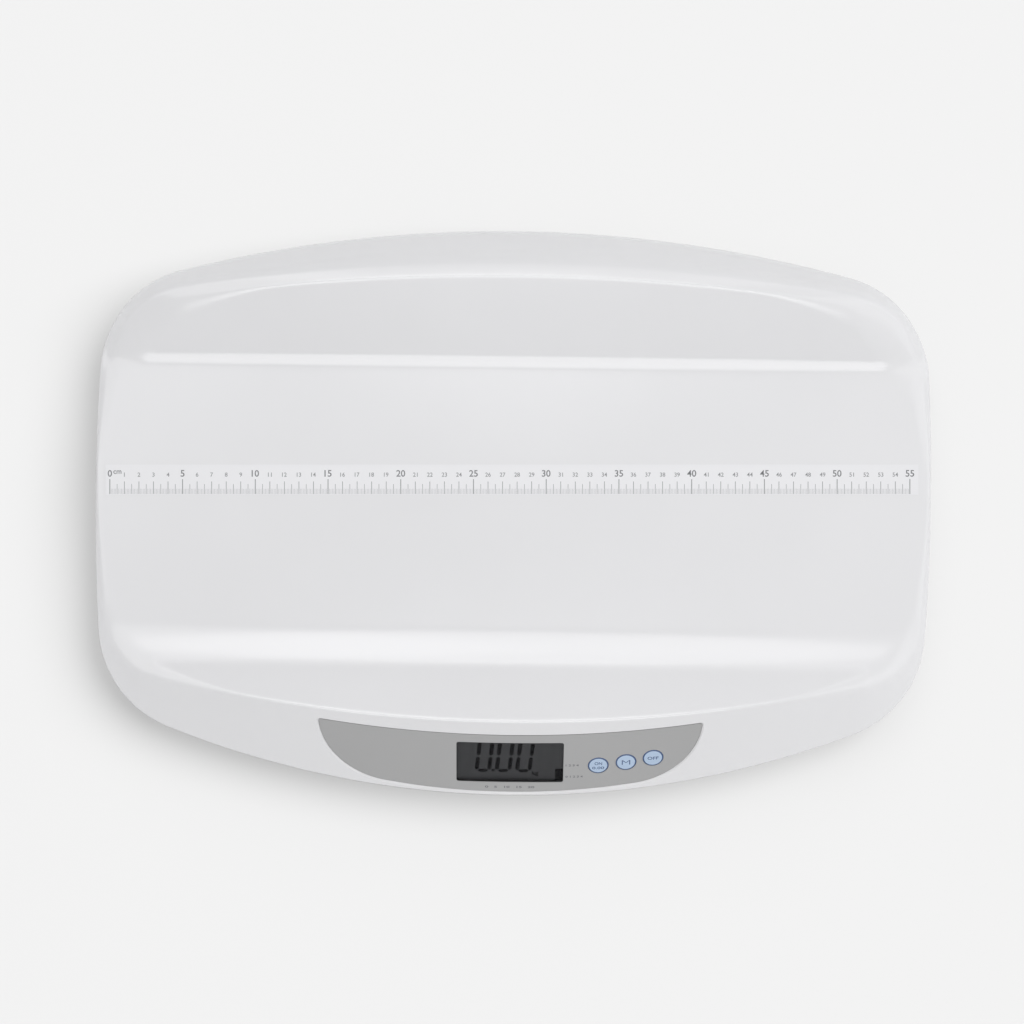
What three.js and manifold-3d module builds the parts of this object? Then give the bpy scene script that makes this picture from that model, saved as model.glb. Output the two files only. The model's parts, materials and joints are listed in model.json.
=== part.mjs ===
// Digital baby weighing scale: a white moulded lying trough on four load cell feet, with a sloping
// control panel in its front apron. Millimetres. The origin is on the table under the middle of the
// tray, +X runs along the rule to the user's right, +Y to the rear rim and +Z up.

import * as THREE from 'three';
import { mergeVertices } from 'three/addons/utils/BufferGeometryUtils.js';
import Module from 'manifold-3d';

// Plan outline of the skirt's hem: bowed front, rear and sides joined by round corners
const halfLength = 289.2;
const halfWidth = 195.5;
const sideBow = 1450;
const sideBowY = 15;
const rearBow = 913;
const frontBow = 650;
const rearCorner = 76;
const frontCorner = 77;

// Plan outline of the trough's edge, where the flat slopes begin to roll over the rim
const rimRunSide = 7.6;
const rimRunRear = 38.5;
const rimRunFront = 59;
const troughHalfLength = halfLength - rimRunSide;
const troughRearY = halfWidth - rimRunRear;
const troughFrontY = halfWidth - rimRunFront;
const troughRearBow = 1600;
const troughFrontBow = 1120;
const troughRearCorner = 58;
const troughFrontCorner = 48;

// Section of the trough, the same all along X
const floorHeight = 38;
const slopeRunRear = 58;
const slopeRunFront = 59.5;
const floorRearY = troughRearY - slopeRunRear;
const floorFrontY = troughFrontY - slopeRunFront;
const rearBendRadius = 17;
const frontBendRadius = 52;
const rearSlopeAngle = 36;
const frontSlopeAngle = 34;

// Rim, skirt and apron
const wall = 3;
const hemHeight = 14;
const crestReachSide = 5;
const crestReachRear = 4.5;
const crestReachFront = 4.5;
const crestRoundSide = 4.6;
const crestRoundRear = 3;
const crestRoundFront = 2.6;
const edgeHeightSide = 31;
const edgeHeightRear = 42;
const edgeHeightFront = 29;
const lipDraftSide = 0.7;
const lipDraftRear = 1.2;
const lipDraftFront = 1.5;
const shoulderRise = 9;
const shoulderReach = 9;
const lipReachSide = 6;
const lipReachRear = 6;
const lipReachFront = 2;
const shoulderShare = 0.42;
const reachShare = 0.45;
const turnStartShare = 0.35;
const turnEndShare = 0.95;
const innerEdgeDropShares = { side: 1, rear: 0.15, front: 0.49 };

// Facets of the tray
const outerArcSteps = [8, 7, 3, 7, 8];
const innerArcSteps = [5, 6, 2, 6, 5];
const rearBendSteps = 3;
const frontBendSteps = 5;
const outerRoundSteps = [3, 2, 2];
const innerRoundSteps = [1, 1, 1];
const nearShare = 0.04;

// General clearances and facets
const runningGap = 0.3;
const overrun = 2;
const weld = 0.0005;
const rodSides = 16;
const smallRodSides = 10;
const screwSides = 8;

// Printed rule stuck on the tray floor, a little askew as it was laid by hand
const stripEndGap = 2.2;
const stripLength = (troughHalfLength - stripEndGap) * 2;
const stripWidth = 20.8;
const stripThickness = 0.35;
const stripCentreX = -1;
const stripCentreY = 23.6;
const stripAskewAngle = 0.7;

// Control panel overlay in its recess on the apron
const windowSetBack = 24.4;
const windowCentreY = halfWidth - windowSetBack;
const panelTop = 24.8;
const panelBottom = 26.7;
const panelTopBow = 1478;
const panelBottomBow = 570;
const panelCornerRadius = 52.6;
const panelCornerTurn = 8.7;
const panelCornerReach = 3;
const panelThickness = 0.5;
const panelSink = 0.95;
const panelEdgeGap = 0.25;
const recessBevel = 1.05;
const recessOverrun = 0.6;
const panelArcSteps = 5;
const smallArcSteps = 1;

// Display behind its window
const windowHalfLength = 36.7;
const windowHalfHeight = 18;
const windowCorner = 1.4;
const windowLedge = 1.3;
const windowThickness = 0.8;
const windowSink = 2.3;
const frameTopSink = 4.1;
const frameEdgeSide = 6;
const frameEdgeUp = 2.2;
const glassMargin = 0.5;
const glassThickness = 2.8;
const glassSink = 4.25;
const connectorWidth = 2.2;
const connectorInset = 2;

// Control board, parallel to the panel
const boardSink = 15;
const boardThickness = 1.6;
const boardLeft = 74;
const boardRight = 114;
const boardHalfHeight = 20;
const chipSize = 14;
const chipThickness = 2.2;
const chipX = 10;
const headerLength = 17;
const headerWidth = 6;
const headerHeight = 6;
const headerX = -60;
const headerUp = 6;
const postRadius = 3.2;
const postPilotRadius = 1.3;
const postEdge = 5;
const boardScrewRadius = 1;
const boardScrewHeadRadius = 2.2;
const boardScrewHeadHeight = 1.4;
const boardScrewLength = 6;
const boardHoleRadius = 1.5;

// Round keys and their switches: each key's place along the panel and up its slope
const keyRadius = 7.1;
const keyProud = 0.35;
const keyTravel = 0.8;
const keyFlange = 1.5;
const keyFlangeThickness = 1.1;
const keyStemRadius = 3.2;
const keyX = { on: 60.6, recall: 79.6, off: 98.1 };
const keyUp = { on: -3.1, recall: -0.9, off: 1.9 };
const switchSize = 6;
const switchBodyHeight = 3.4;
const switchPlungerRadius = 1.7;
const switchPlungerHeight = 0.9;

// Base cover inside the skirt
const coverBottom = 16.5;
const coverThickness = 2.5;
const coverGap = 2.4;
const coverRimHeight = 2.5;
const coverRimThickness = 2;

// Feet with their load cells
const footInsetSide = 74.2;
const footInsetRear = 49.8;
const footInsetFront = 48.9;
const padRadius = 15;
const padHeight = 4;
const padChamfer = 1.2;
const cupRimDrop = 1.8;
const cupRimThickness = 1.8;
const cupTopThickness = 3;
const cupStemRadius = 7.5;
const cupConeHeight = 4;
const cellHalfSize = 17;
const cellThickness = 2.2;
const cellCorner = 3;
const cellFrameWidth = 5;
const cellSlotWidth = 2;
const cellTongueWidth = 11;
const cellHoleRadius = 10.5;
const seatWidth = 4;
const fenceThickness = 1.5;
const fenceHeight = 5;
const fenceNotch = 6;

// Screws that hold the cover to the tray: how far inside the hem's end and its bowed edge
const sideScrew = { fromEnd: 25.2, y: 47 };
const rearScrew = { fromEnd: 169.2, fromEdge: 24.6 };
const frontScrew = { fromEnd: 137.2, fromEdge: 21.5 };
const bossRadius = 4.2;
const bossPilotRadius = 1.7;
const bossPilotDepth = 11;
const caseScrewRadius = 1.4;
const caseScrewHeadRadius = 3.3;
const caseScrewHeadHeight = 2;
const caseScrewLength = 11;
const caseScrewSink = 0.4;
const caseHoleRadius = 1.8;
const caseHeadRoom = 0.6;
const screwPadRadius = 6.5;

// Battery well, its cells and contacts
const cellRadius = 7.1;
const cellBodyLength = 48.9;
const cellNubRadius = 2.75;
const cellNubLength = 1.4;
const cellPitch = 15.2;
const cellBevel = 0.6;
const cellCount = 4;
const wellWall = 1.5;
const wellSetBack = 49.5;
const wellFrontY = halfWidth - wellSetBack;
const wellSideGap = 0.6;
const contactThickness = 0.5;
const contactWidth = 11;
const contactHeight = 10;
const springHeight = 4.2;
const springBaseRadius = 3.3;
const springTipRadius = 2.1;
const springWire = 0.6;
const springTurns = 3;
const springStepsPerTurn = 8;
const springSides = 5;
const tabWidth = 3;
const tabThickness = 0.6;
const tabReach = 4;

// Battery door, hinged at its rear edge
const doorThickness = 2.2;
const doorSideReach = 2.4;
const doorFrontReach = 5;
const doorGap = 0.4;
const barrelRadius = 1.9;
const hingeBehindWell = 4;
const hingePinRadius = 1.1;
const hingePinLength = 2.6;
const ledgeThickness = 1.5;
const ledgeReach = 3.5;
const hingeBlockHeight = 6.2;
const hingeBlockDepth = 3.4;
const latchWidth = 12;
const latchThickness = 1.2;
const latchHeight = 4.2;
const latchInset = 1.2;
const gripRadius = 14;
const gripDepth = 0.8;
const gripRibWidth = 1;
const gripRibPitch = 3;
const gripRibHalfLength = 9;
const gripRibHeight = 0.6;
const gripRibCount = 4;

// Underside of the cover: collars round the feet and a bare recess for a rating plate
const collarRadius = 22;
const collarWidth = 2.4;
const collarHeight = 1;
const plateHalfLength = 34;
const plateHalfWidth = 19;
const plateDepth = 0.4;
const plateCorner = 2;
const plateCentreY = 62;

// Leads from the load cells to the header, and from the battery contacts to the board
const leadRadius = 1.1;
const leadSides = 5;
const leadSteps = 18;
const leadPitch = 3.6;
const leadRise = 8;
const leadBendInset = 62.5;
const batteryLeadRadius = 0.8;
const batteryLeadSteps = 8;
const batteryLeadUp = -6;
const batteryLeadRise = 4;
const leadRoutes = {
  front_left: [[-180, -110], [-125, -120], [-85, -131]],
  rear_left: [[-178, 116], [-120, 60], [-78, -30], [-64, -105]],
  rear_right: [[178, 116], [92, 42], [-18, -18], [-52, -58], [-60, -105]],
  front_right: [[180, -108], [110, -74], [0, -66], [-40, -72], [-54, -100]],
};

const white = { color: 0xe9e9eb, roughness: 0.25, metalness: 0 };
const looks = {
  tray: white,
  cover: { color: 0xdddddf, roughness: 0.5, metalness: 0 },
  strip: { color: 0xe8e8ea, roughness: 0.45, metalness: 0 },
  silver: { color: 0xa4a5a7, roughness: 0.4, metalness: 0.6 },
  clear: { color: 0xd8dcdc, roughness: 0.05, metalness: 0 },
  black: { color: 0x1c1d1e, roughness: 0.5, metalness: 0 },
  glass: { color: 0x45484a, roughness: 0.1, metalness: 0 },
  key: { color: 0xaac0de, roughness: 0.4, metalness: 0 },
  board: { color: 0x1f5a36, roughness: 0.5, metalness: 0 },
  steel: { color: 0xb9bcc0, roughness: 0.3, metalness: 1 },
  rubber: { color: 0x3a3b3c, roughness: 0.9, metalness: 0 },
  cellSleeve: { color: 0x2f4f7a, roughness: 0.4, metalness: 0.2 },
  elastomer: { color: 0xc9a0a8, roughness: 0.8, metalness: 0 },
  redLead: { color: 0xa02525, roughness: 0.5, metalness: 0 },
  ivory: { color: 0xe8e0c8, roughness: 0.5, metalness: 0 },
};

const wasm = await Module();
wasm.setup();

const scale = new THREE.Group();
const radians = THREE.MathUtils.degToRad;

// Solids from closed three.js geometry, and back

function solidOf(geometry) {
  const plain = geometry.clone();
  plain.deleteAttribute('normal');
  plain.deleteAttribute('uv');
  const merged = mergeVertices(plain, weld);
  const corners = merged.index.array;
  const triangles = [];
  for (let i = 0; i < corners.length; i += 3) {
    const [a, b, c] = corners.slice(i, i + 3);
    if (a !== b && b !== c && c !== a) triangles.push(a, b, c);
  }
  return new wasm.Manifold(new wasm.Mesh({
    numProp: 3,
    vertProperties: merged.attributes.position.array,
    triVerts: new Uint32Array(triangles),
  }));
}

function geometryOf(solid) {
  const { vertProperties, triVerts } = solid.getMesh();
  const geometry = new THREE.BufferGeometry();
  geometry.setAttribute('position', new THREE.BufferAttribute(vertProperties, 3));
  geometry.setIndex(new THREE.BufferAttribute(triVerts, 1));
  geometry.computeVertexNormals();
  return geometry;
}

function joined(geometries) {
  return geometries.map(solidOf).reduce((whole, piece) => whole.add(piece));
}

function addPiece(name, geometry, look, parent = scale) {
  const mesh = new THREE.Mesh(geometry, new THREE.MeshStandardMaterial(look));
  mesh.name = name;
  parent.add(mesh);
  return mesh;
}

// Basic shapes

function block(x0, x1, y0, y1, z0, z1) {
  return new THREE.BoxGeometry(x1 - x0, y1 - y0, z1 - z0)
    .translate((x0 + x1) / 2, (y0 + y1) / 2, (z0 + z1) / 2);
}

function rod(radius, x, y, z0, z1, sides = rodSides) {
  return new THREE.CylinderGeometry(radius, radius, z1 - z0, sides)
    .rotateX(Math.PI / 2)
    .translate(x, y, (z0 + z1) / 2);
}

function turned(profile, sides = rodSides) {
  const points = profile.map(([r, z]) => new THREE.Vector2(r, z));
  return new THREE.LatheGeometry(points, sides).rotateX(Math.PI / 2);
}

function slab(shape, z0, z1, curveSegments = panelArcSteps) {
  return new THREE.ExtrudeGeometry(shape, { depth: z1 - z0, bevelEnabled: false, curveSegments })
    .translate(0, 0, z0);
}

function roundedRect(halfX, halfY, radius) {
  const shape = new THREE.Shape();
  shape.absarc(halfX - radius, halfY - radius, radius, 0, Math.PI / 2);
  shape.absarc(radius - halfX, halfY - radius, radius, Math.PI / 2, Math.PI);
  shape.absarc(radius - halfX, radius - halfY, radius, Math.PI, -Math.PI / 2);
  shape.absarc(halfX - radius, radius - halfY, radius, -Math.PI / 2, 0);
  return shape;
}

function polygonShape(radius, sides) {
  const points = [];
  for (let i = 0; i < sides; i += 1) {
    const turn = (i / sides) * Math.PI * 2;
    points.push(new THREE.Vector2(radius * Math.cos(turn), radius * Math.sin(turn)));
  }
  return new THREE.Shape(points);
}

// The right half of a bowed plan outline as five arcs from the rear middle to the front middle

function cornerArc(bow, side, radius, towardsRear) {
  const near = bow.r - radius;
  const far = side.r - radius;
  const apart = new THREE.Vector2(side.x - bow.x, side.y - bow.y);
  const gap = apart.length();
  const along = (near * near - far * far + gap * gap) / (2 * gap);
  const across = Math.sqrt(near * near - along * along);
  const unit = apart.divideScalar(gap);
  return {
    x: bow.x + unit.x * along - towardsRear * unit.y * across,
    y: bow.y + unit.y * along + towardsRear * unit.x * across,
    r: radius,
  };
}

function arcsOf(outline) {
  const rear = { x: 0, y: outline.rearY - outline.rearBow, r: outline.rearBow };
  const side = { x: outline.halfLength - outline.sideBow, y: sideBowY, r: outline.sideBow };
  const front = { x: 0, y: outline.frontBow - outline.frontY, r: outline.frontBow };
  const rearTurn = cornerArc(rear, side, outline.rearCorner, -1);
  const frontTurn = cornerArc(front, side, outline.frontCorner, 1);
  const towards = (from, to) => Math.atan2(to.y - from.y, to.x - from.x);
  const joins = [
    Math.PI / 2,
    towards(rear, rearTurn),
    towards(side, rearTurn),
    towards(side, frontTurn),
    towards(front, frontTurn),
    -Math.PI / 2,
  ];
  return [rear, rearTurn, side, frontTurn, front]
    .map((arc, i) => ({ ...arc, from: joins[i], to: joins[i + 1] }));
}

function hemOutline(inset) {
  return arcsOf({
    halfLength: halfLength - inset,
    sideBow: sideBow - inset,
    rearY: halfWidth - inset,
    frontY: halfWidth - inset,
    rearBow: rearBow - inset,
    frontBow: frontBow - inset,
    rearCorner: rearCorner - inset,
    frontCorner: frontCorner - inset,
  });
}

function troughOutline(inset) {
  return arcsOf({
    halfLength: troughHalfLength - inset,
    sideBow: sideBow - inset,
    rearY: troughRearY,
    frontY: troughFrontY,
    rearBow: troughRearBow,
    frontBow: troughFrontBow,
    rearCorner: troughRearCorner,
    frontCorner: troughFrontCorner,
  });
}

function pointOn(arcs, { arc, share }) {
  const { x, y, r, from, to } = arcs[arc];
  const angle = from + (to - from) * share;
  return { x: x + r * Math.cos(angle), y: y + r * Math.sin(angle), angle };
}

function shareAtY(arcs, y) {
  const end = (arc, angle) => arc.y + arc.r * Math.sin(angle);
  const index = arcs.findIndex((arc) => y <= end(arc, arc.from) && y > end(arc, arc.to));
  const arc = arcs[index];
  const angle = Math.asin((y - arc.y) / arc.r);
  return { arc: index, share: (angle - arc.from) / (arc.to - arc.from) };
}

// Even stations on each arc, with the trough's bend lines let in exactly

function stationsOn(arcs, rows, steps) {
  const bends = rows.map((y) => shareAtY(arcs, y));
  const stations = [...bends];
  steps.forEach((count, arc) => {
    const last = arc === steps.length - 1 ? count : count - 1;
    for (let i = 0; i <= last; i += 1) {
      const share = i / count;
      const taken = bends.some((bend) => bend.arc === arc && Math.abs(bend.share - share) < nearShare);
      if (!taken) stations.push({ arc, share });
    }
  });
  return stations.sort((a, b) => a.arc + a.share - b.arc - b.share);
}

// Section of the trough as [y, z] from front to rear, moved inwards by a wall thickness

function bend(y, z, radius, angle, steps, direction) {
  const points = [];
  for (let i = 0; i <= steps; i += 1) {
    const turn = (radians(angle) * i) / steps;
    points.push([y + direction * radius * Math.sin(turn), z + radius * (1 - Math.cos(turn))]);
  }
  return points;
}

function troughSection(inset) {
  const z = floorHeight - inset;
  const front = bend(-floorFrontY, z, frontBendRadius + inset, frontSlopeAngle, frontBendSteps, -1);
  const rear = bend(floorRearY, z, rearBendRadius + inset, rearSlopeAngle, rearBendSteps, 1);
  return [...front.reverse(), ...rear];
}

function heightAt(section, y) {
  const [firstY, firstZ] = section[0];
  const [lastY, lastZ] = section[section.length - 1];
  if (y <= firstY) return firstZ + (firstY - y) * Math.tan(radians(frontSlopeAngle));
  if (y >= lastY) return lastZ + (y - lastY) * Math.tan(radians(rearSlopeAngle));
  const next = section.findIndex(([sectionY]) => sectionY > y);
  const [y0, z0] = section[next - 1];
  const [y1, z1] = section[next];
  return z0 + ((z1 - z0) * (y - y0)) / (y1 - y0);
}

// Rim, skirt and apron at one station: from the trough's edge over the crest down to the hem

function blend(angle, side, rear, front) {
  const towards = Math.abs(Math.sin(angle));
  const turn = THREE.MathUtils.smoothstep(towards, turnStartShare, turnEndShare);
  return side + ((angle > 0 ? rear : front) - side) * turn;
}

function rounded(before, corner, after, reachIn, reachOut, steps) {
  const start = corner.clone().lerp(before, Math.min(reachIn / corner.distanceTo(before), 1));
  const end = corner.clone().lerp(after, Math.min(reachOut / corner.distanceTo(after), reachShare));
  return new THREE.QuadraticBezierCurve3(start, corner, end).getPoints(steps);
}

function rimProfile(edge, hem, section, inset, bottom, steps) {
  const { angle } = hem;
  const start = new THREE.Vector3(edge.x, edge.y, heightAt(section, edge.y));
  const foot = new THREE.Vector3(hem.x, hem.y, bottom);
  const outward = new THREE.Vector3(hem.x - edge.x, hem.y - edge.y, 0).normalize();
  const crestReach = blend(angle, crestReachSide, crestReachRear, crestReachFront);
  const crestRound = blend(angle, crestRoundSide, crestRoundRear, crestRoundFront);
  const crest = start.clone().addScaledVector(outward, crestReach);
  crest.z = heightAt(section, crest.y);
  const lipDraft = blend(angle, lipDraftSide, lipDraftRear, lipDraftFront);
  const edgeDrop = inset * blend(angle, ...Object.values(innerEdgeDropShares));
  const lip = foot.clone().addScaledVector(outward, -lipDraft);
  lip.z = blend(angle, edgeHeightSide, edgeHeightRear, edgeHeightFront) - edgeDrop;
  const shoulder = crest.clone().lerp(lip, shoulderShare);
  shoulder.z += blend(angle, 0, shoulderRise, 0);
  const reach = blend(angle, lipReachSide, lipReachRear, lipReachFront);
  const lipIn = Math.min(reach, lip.distanceTo(shoulder) * reachShare);
  const shoulderIn = Math.min(shoulderReach, shoulder.distanceTo(crest) * reachShare);
  const [crestSteps, shoulderSteps, lipSteps] = steps;
  return [
    start,
    ...rounded(start, crest, shoulder, crestRound, crestRound, crestSteps),
    ...rounded(crest, shoulder, lip, shoulderIn, shoulderReach, shoulderSteps),
    ...rounded(shoulder, lip, foot, lipIn, reach, lipSteps),
    foot,
  ];
}

// Closed body from rings whose points run rear to front on the right and back on the left

function loft(profiles) {
  const last = profiles.length - 1;
  const mirrored = (points) => points.map((p) => new THREE.Vector3(-p.x, p.y, p.z));
  const left = profiles.slice(1, last).reverse().map(mirrored);
  const loop = [...profiles, ...left];
  const rings = loop[0].length;
  const position = loop.flatMap((points) => points.flatMap((p) => p.toArray()));
  const vertex = (station, ring) => (station % loop.length) * rings + ring;
  const index = [];
  for (let i = 0; i < loop.length; i += 1) {
    for (let ring = 0; ring < rings - 1; ring += 1) {
      const [a, b] = [vertex(i, ring), vertex(i + 1, ring)];
      const [c, d] = [vertex(i + 1, ring + 1), vertex(i, ring + 1)];
      index.push(a, b, c, a, c, d);
    }
  }
  for (let i = 0; i < last; i += 1) {
    const mirror = (station) => (loop.length - station) % loop.length;
    const [top, low] = [0, rings - 1];
    const quad = [i, i + 1, mirror(i + 1), mirror(i)];
    const [a, b, c, d] = quad.map((station) => vertex(station, top));
    const [e, f, g, h] = quad.map((station) => vertex(station, low));
    index.push(a, c, b, a, d, c, e, f, g, e, g, h);
  }
  const geometry = new THREE.BufferGeometry();
  geometry.setAttribute('position', new THREE.Float32BufferAttribute(position, 3));
  geometry.setIndex(index);
  return geometry;
}

function trayForm(inset, bottom, arcSteps, roundSteps) {
  const section = troughSection(inset);
  const edge = troughOutline(inset);
  const hem = hemOutline(inset);
  const stations = stationsOn(edge, section.map(([y]) => y), arcSteps);
  return loft(stations.map((station) => rimProfile(
    pointOn(edge, station),
    pointOn(hem, station),
    section,
    inset,
    bottom,
    roundSteps,
  )));
}

// The panel's frame: origin on the apron at the window's centre, +Y up the slope, +Z out of it

const frontSection = troughSection(0);
const apronTop = new THREE.Vector2(-troughFrontY - crestReachFront, 0);
apronTop.y = heightAt(frontSection, apronTop.x);
const apronFoot = new THREE.Vector2(lipDraftFront - halfWidth, edgeHeightFront);
const apronAngle = Math.atan2(apronTop.y - apronFoot.y, apronTop.x - apronFoot.x);
const windowHeight = apronFoot.y + (-windowCentreY - apronFoot.x) * Math.tan(apronAngle);
const panelFrame = new THREE.Matrix4()
  .makeRotationX(apronAngle)
  .setPosition(0, -windowCentreY, windowHeight);
const panelNormal = new THREE.Vector3(0, -Math.sin(apronAngle), Math.cos(apronAngle));
const panelGroup = new THREE.Group();
panelGroup.applyMatrix4(panelFrame);
scale.add(panelGroup);

const onPanel = (geometry) => geometry.applyMatrix4(panelFrame);

// The tray's outer form sunk along the panel's normal: its apron is the panel surface so far down

const outerForm = trayForm(0, hemHeight, outerArcSteps, outerRoundSteps);

function apronSunk(depth) {
  return solidOf(outerForm.clone().translate(...panelNormal.clone().multiplyScalar(-depth).toArray()));
}

function panelShape(margin) {
  const shape = new THREE.Shape();
  const bottomBow = panelBottomBow + margin;
  const topBow = panelTopBow - margin;
  const corner = panelCornerRadius + margin;
  const turn = radians(panelCornerTurn);
  const reach = panelBottomBow - panelCornerRadius;
  const bottomY = panelBottomBow - panelBottom;
  const cornerX = reach * Math.sin(turn);
  const cornerY = bottomY - reach * Math.cos(turn);
  const topY = panelTop + panelTopBow;
  const topX = cornerX + corner;
  const tipY = topY - Math.sqrt(topBow * topBow - topX * topX);
  const sideTurn = Math.asin((tipY - panelCornerReach - cornerY) / corner);
  const sideX = cornerX + corner * Math.cos(sideTurn);
  const sideY = cornerY + corner * Math.sin(sideTurn);
  const topTurn = Math.asin((topX - panelCornerReach) / topBow);
  const down = -Math.PI / 2;
  shape.absarc(0, bottomY, bottomBow, down - turn, down + turn);
  shape.absarc(cornerX, cornerY, corner, down + turn, sideTurn);
  shape.quadraticCurveTo(topX, tipY, topBow * Math.sin(topTurn), topY - topBow * Math.cos(topTurn));
  shape.absarc(0, topY, topBow, down + topTurn, down - topTurn, true);
  shape.quadraticCurveTo(-topX, tipY, -sideX, sideY);
  shape.absarc(-cornerX, cornerY, corner, Math.PI - sideTurn, Math.PI - down - turn);
  return shape;
}

// A ring that follows the recess's outline on the apron and cuts its edge at 45 degrees

const apronCaster = new THREE.Raycaster();
const apronMesh = new THREE.Mesh(outerForm);

function onApron({ x, y }, rise) {
  const from = new THREE.Vector3(x, y, halfWidth).applyMatrix4(panelFrame);
  apronCaster.set(from, panelNormal.clone().negate());
  return apronCaster.intersectObject(apronMesh)[0].point.addScaledVector(panelNormal, rise);
}

function outlinePoints(margin) {
  const points = panelShape(margin).getPoints(panelArcSteps);
  return points.filter((point, i) => point.distanceTo(points.at(i - 1)) > runningGap / 2);
}

function recessBevelRing() {
  const outer = panelEdgeGap + recessBevel + recessOverrun;
  const corners = [
    [-recessBevel, -recessBevel], [panelEdgeGap, -recessBevel],
    [outer, recessOverrun], [-recessBevel, recessOverrun],
  ];
  const ringAt = ([margin, rise]) => outlinePoints(margin).map((point) => onApron(point, rise));
  const rings = corners.map(ringAt);
  const count = rings[0].length;
  const index = [];
  rings.forEach((ring, side) => {
    const [here, next] = [side * count, ((side + 1) % rings.length) * count];
    for (let i = 0; i < count; i += 1) {
      const j = (i + 1) % count;
      index.push(here + i, here + j, next + j, here + i, next + j, next + i);
    }
  });
  const geometry = new THREE.BufferGeometry();
  const position = rings.flat().flatMap((point) => point.toArray());
  geometry.setAttribute('position', new THREE.Float32BufferAttribute(position, 3));
  geometry.setIndex(index);
  return solidOf(geometry);
}

const keys = Object.keys(keyX).map((name) => ({ name, x: keyX[name], up: keyUp[name] }));
const panelReach = boardSink + overrun;

function keyRod(key, radius, low, high) {
  return onPanel(rod(radius, key.x, key.up, low, high));
}

function windowSlab(margin, low, high) {
  const shape = roundedRect(windowHalfLength + margin, windowHalfHeight + margin, windowCorner);
  return onPanel(slab(shape, low, high, smallArcSteps));
}

// Screws, feet and board posts share their places with what they fasten or carry

function mirroredSpots(spots) {
  return spots.flatMap(([x, y]) => [[x, y], [-x, y]]);
}

// How far the hem's bowed edge lies from the middle line at x: side is 1 at the rear, -1 in front

function hemDepthAt(x, side) {
  const arcs = hemOutline(0);
  const [bow, corner] = side > 0 ? [arcs[0], arcs[1]] : [arcs[4], arcs[3]];
  const join = bow.x + bow.r * Math.cos(side > 0 ? bow.to : bow.from);
  const arc = x < join ? bow : corner;
  return side * arc.y + Math.sqrt(arc.r ** 2 - (x - arc.x) ** 2);
}

const sideScrewX = halfLength - sideScrew.fromEnd;
const rearScrewX = halfLength - rearScrew.fromEnd;
const frontScrewX = halfLength - frontScrew.fromEnd;
const caseScrewPlaces = mirroredSpots([
  [sideScrewX, sideScrew.y],
  [sideScrewX, -sideScrew.y],
  [rearScrewX, hemDepthAt(rearScrewX, 1) - rearScrew.fromEdge],
  [frontScrewX, frontScrew.fromEdge - hemDepthAt(frontScrewX, -1)],
]);
const footX = halfLength - footInsetSide;
const footRearY = hemDepthAt(footX, 1) - footInsetRear;
const footFrontY = hemDepthAt(footX, -1) - footInsetFront;
const footPlaces = {
  rear_left: [-footX, footRearY],
  rear_right: [footX, footRearY],
  front_left: [-footX, -footFrontY],
  front_right: [footX, -footFrontY],
};
const coverTop = coverBottom + coverThickness;
const headTop = coverBottom + caseScrewSink + caseScrewHeadHeight;
const padTop = headTop + coverThickness;
const cellTop = coverTop + cellThickness;
const postPlaces = [
  [postEdge - boardLeft, boardHalfHeight - postEdge],
  [postEdge - boardLeft, postEdge - boardHalfHeight],
  [boardRight - postEdge, boardHalfHeight - postEdge],
  [boardRight - postEdge, postEdge - boardHalfHeight],
];

function squareTube(x, y, half, width, z0, z1) {
  const shape = roundedRect(half, half, width);
  shape.holes.push(roundedRect(half - width, half - width, width / 2));
  return slab(shape, z0, z1, smallArcSteps).translate(x, y, 0);
}

// The white moulding: trough, rims, skirt, apron, panel recess, bosses and load cell seats

function trayShell() {
  const above = floorHeight + halfWidth;
  const pilotTop = padTop + bossPilotDepth;
  const bosses = caseScrewPlaces.map(([x, y]) => rod(bossRadius, x, y, padTop, above, smallRodSides));
  const seats = Object.values(footPlaces)
    .map(([x, y]) => squareTube(x, y, cellHalfSize, seatWidth, cellTop, above));
  const posts = postPlaces
    .map(([x, y]) => onPanel(rod(postRadius, x, y, -boardSink, panelReach, smallRodSides)));
  const pilots = caseScrewPlaces
    .map(([x, y]) => rod(bossPilotRadius, x, y, padTop - overrun, pilotTop, smallRodSides));
  const postPilots = postPlaces.map(([x, y]) => onPanel(rod(
    postPilotRadius, x, y, -boardSink - overrun, boardScrewLength - boardSink, smallRodSides,
  )));
  const mounts = joined([...bosses, ...seats, ...posts])
    .intersect(solidOf(trayForm(wall / 2, hemHeight, innerArcSteps, innerRoundSteps)));
  const recess = solidOf(onPanel(slab(panelShape(panelEdgeGap), -panelReach, panelReach)))
    .subtract(apronSunk(panelSink + panelThickness + runningGap))
    .add(recessBevelRing());
  const openings = [
    windowSlab(windowLedge + runningGap, -panelReach, panelReach),
    ...keys.map((key) => keyRod(key, keyRadius + runningGap, -panelReach, panelReach)),
  ];
  return solidOf(outerForm)
    .subtract(solidOf(trayForm(wall, hemHeight - overrun, innerArcSteps, innerRoundSteps)))
    .add(mounts)
    .subtract(joined([...pilots, ...postPilots]))
    .subtract(recess)
    .subtract(joined(openings));
}

addPiece('tray_shell', geometryOf(trayShell()), looks.tray);

// The printed rule

function measuringStrip() {
  const strip = addPiece(
    'measuring_strip',
    new THREE.BoxGeometry(stripLength, stripWidth, stripThickness).translate(0, 0, stripThickness / 2),
    looks.strip,
  );
  strip.position.set(stripCentreX, stripCentreY, floorHeight);
  strip.rotation.z = radians(stripAskewAngle);
}

measuringStrip();

// The silver overlay follows the apron's curve between two sunk copies of it

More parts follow.
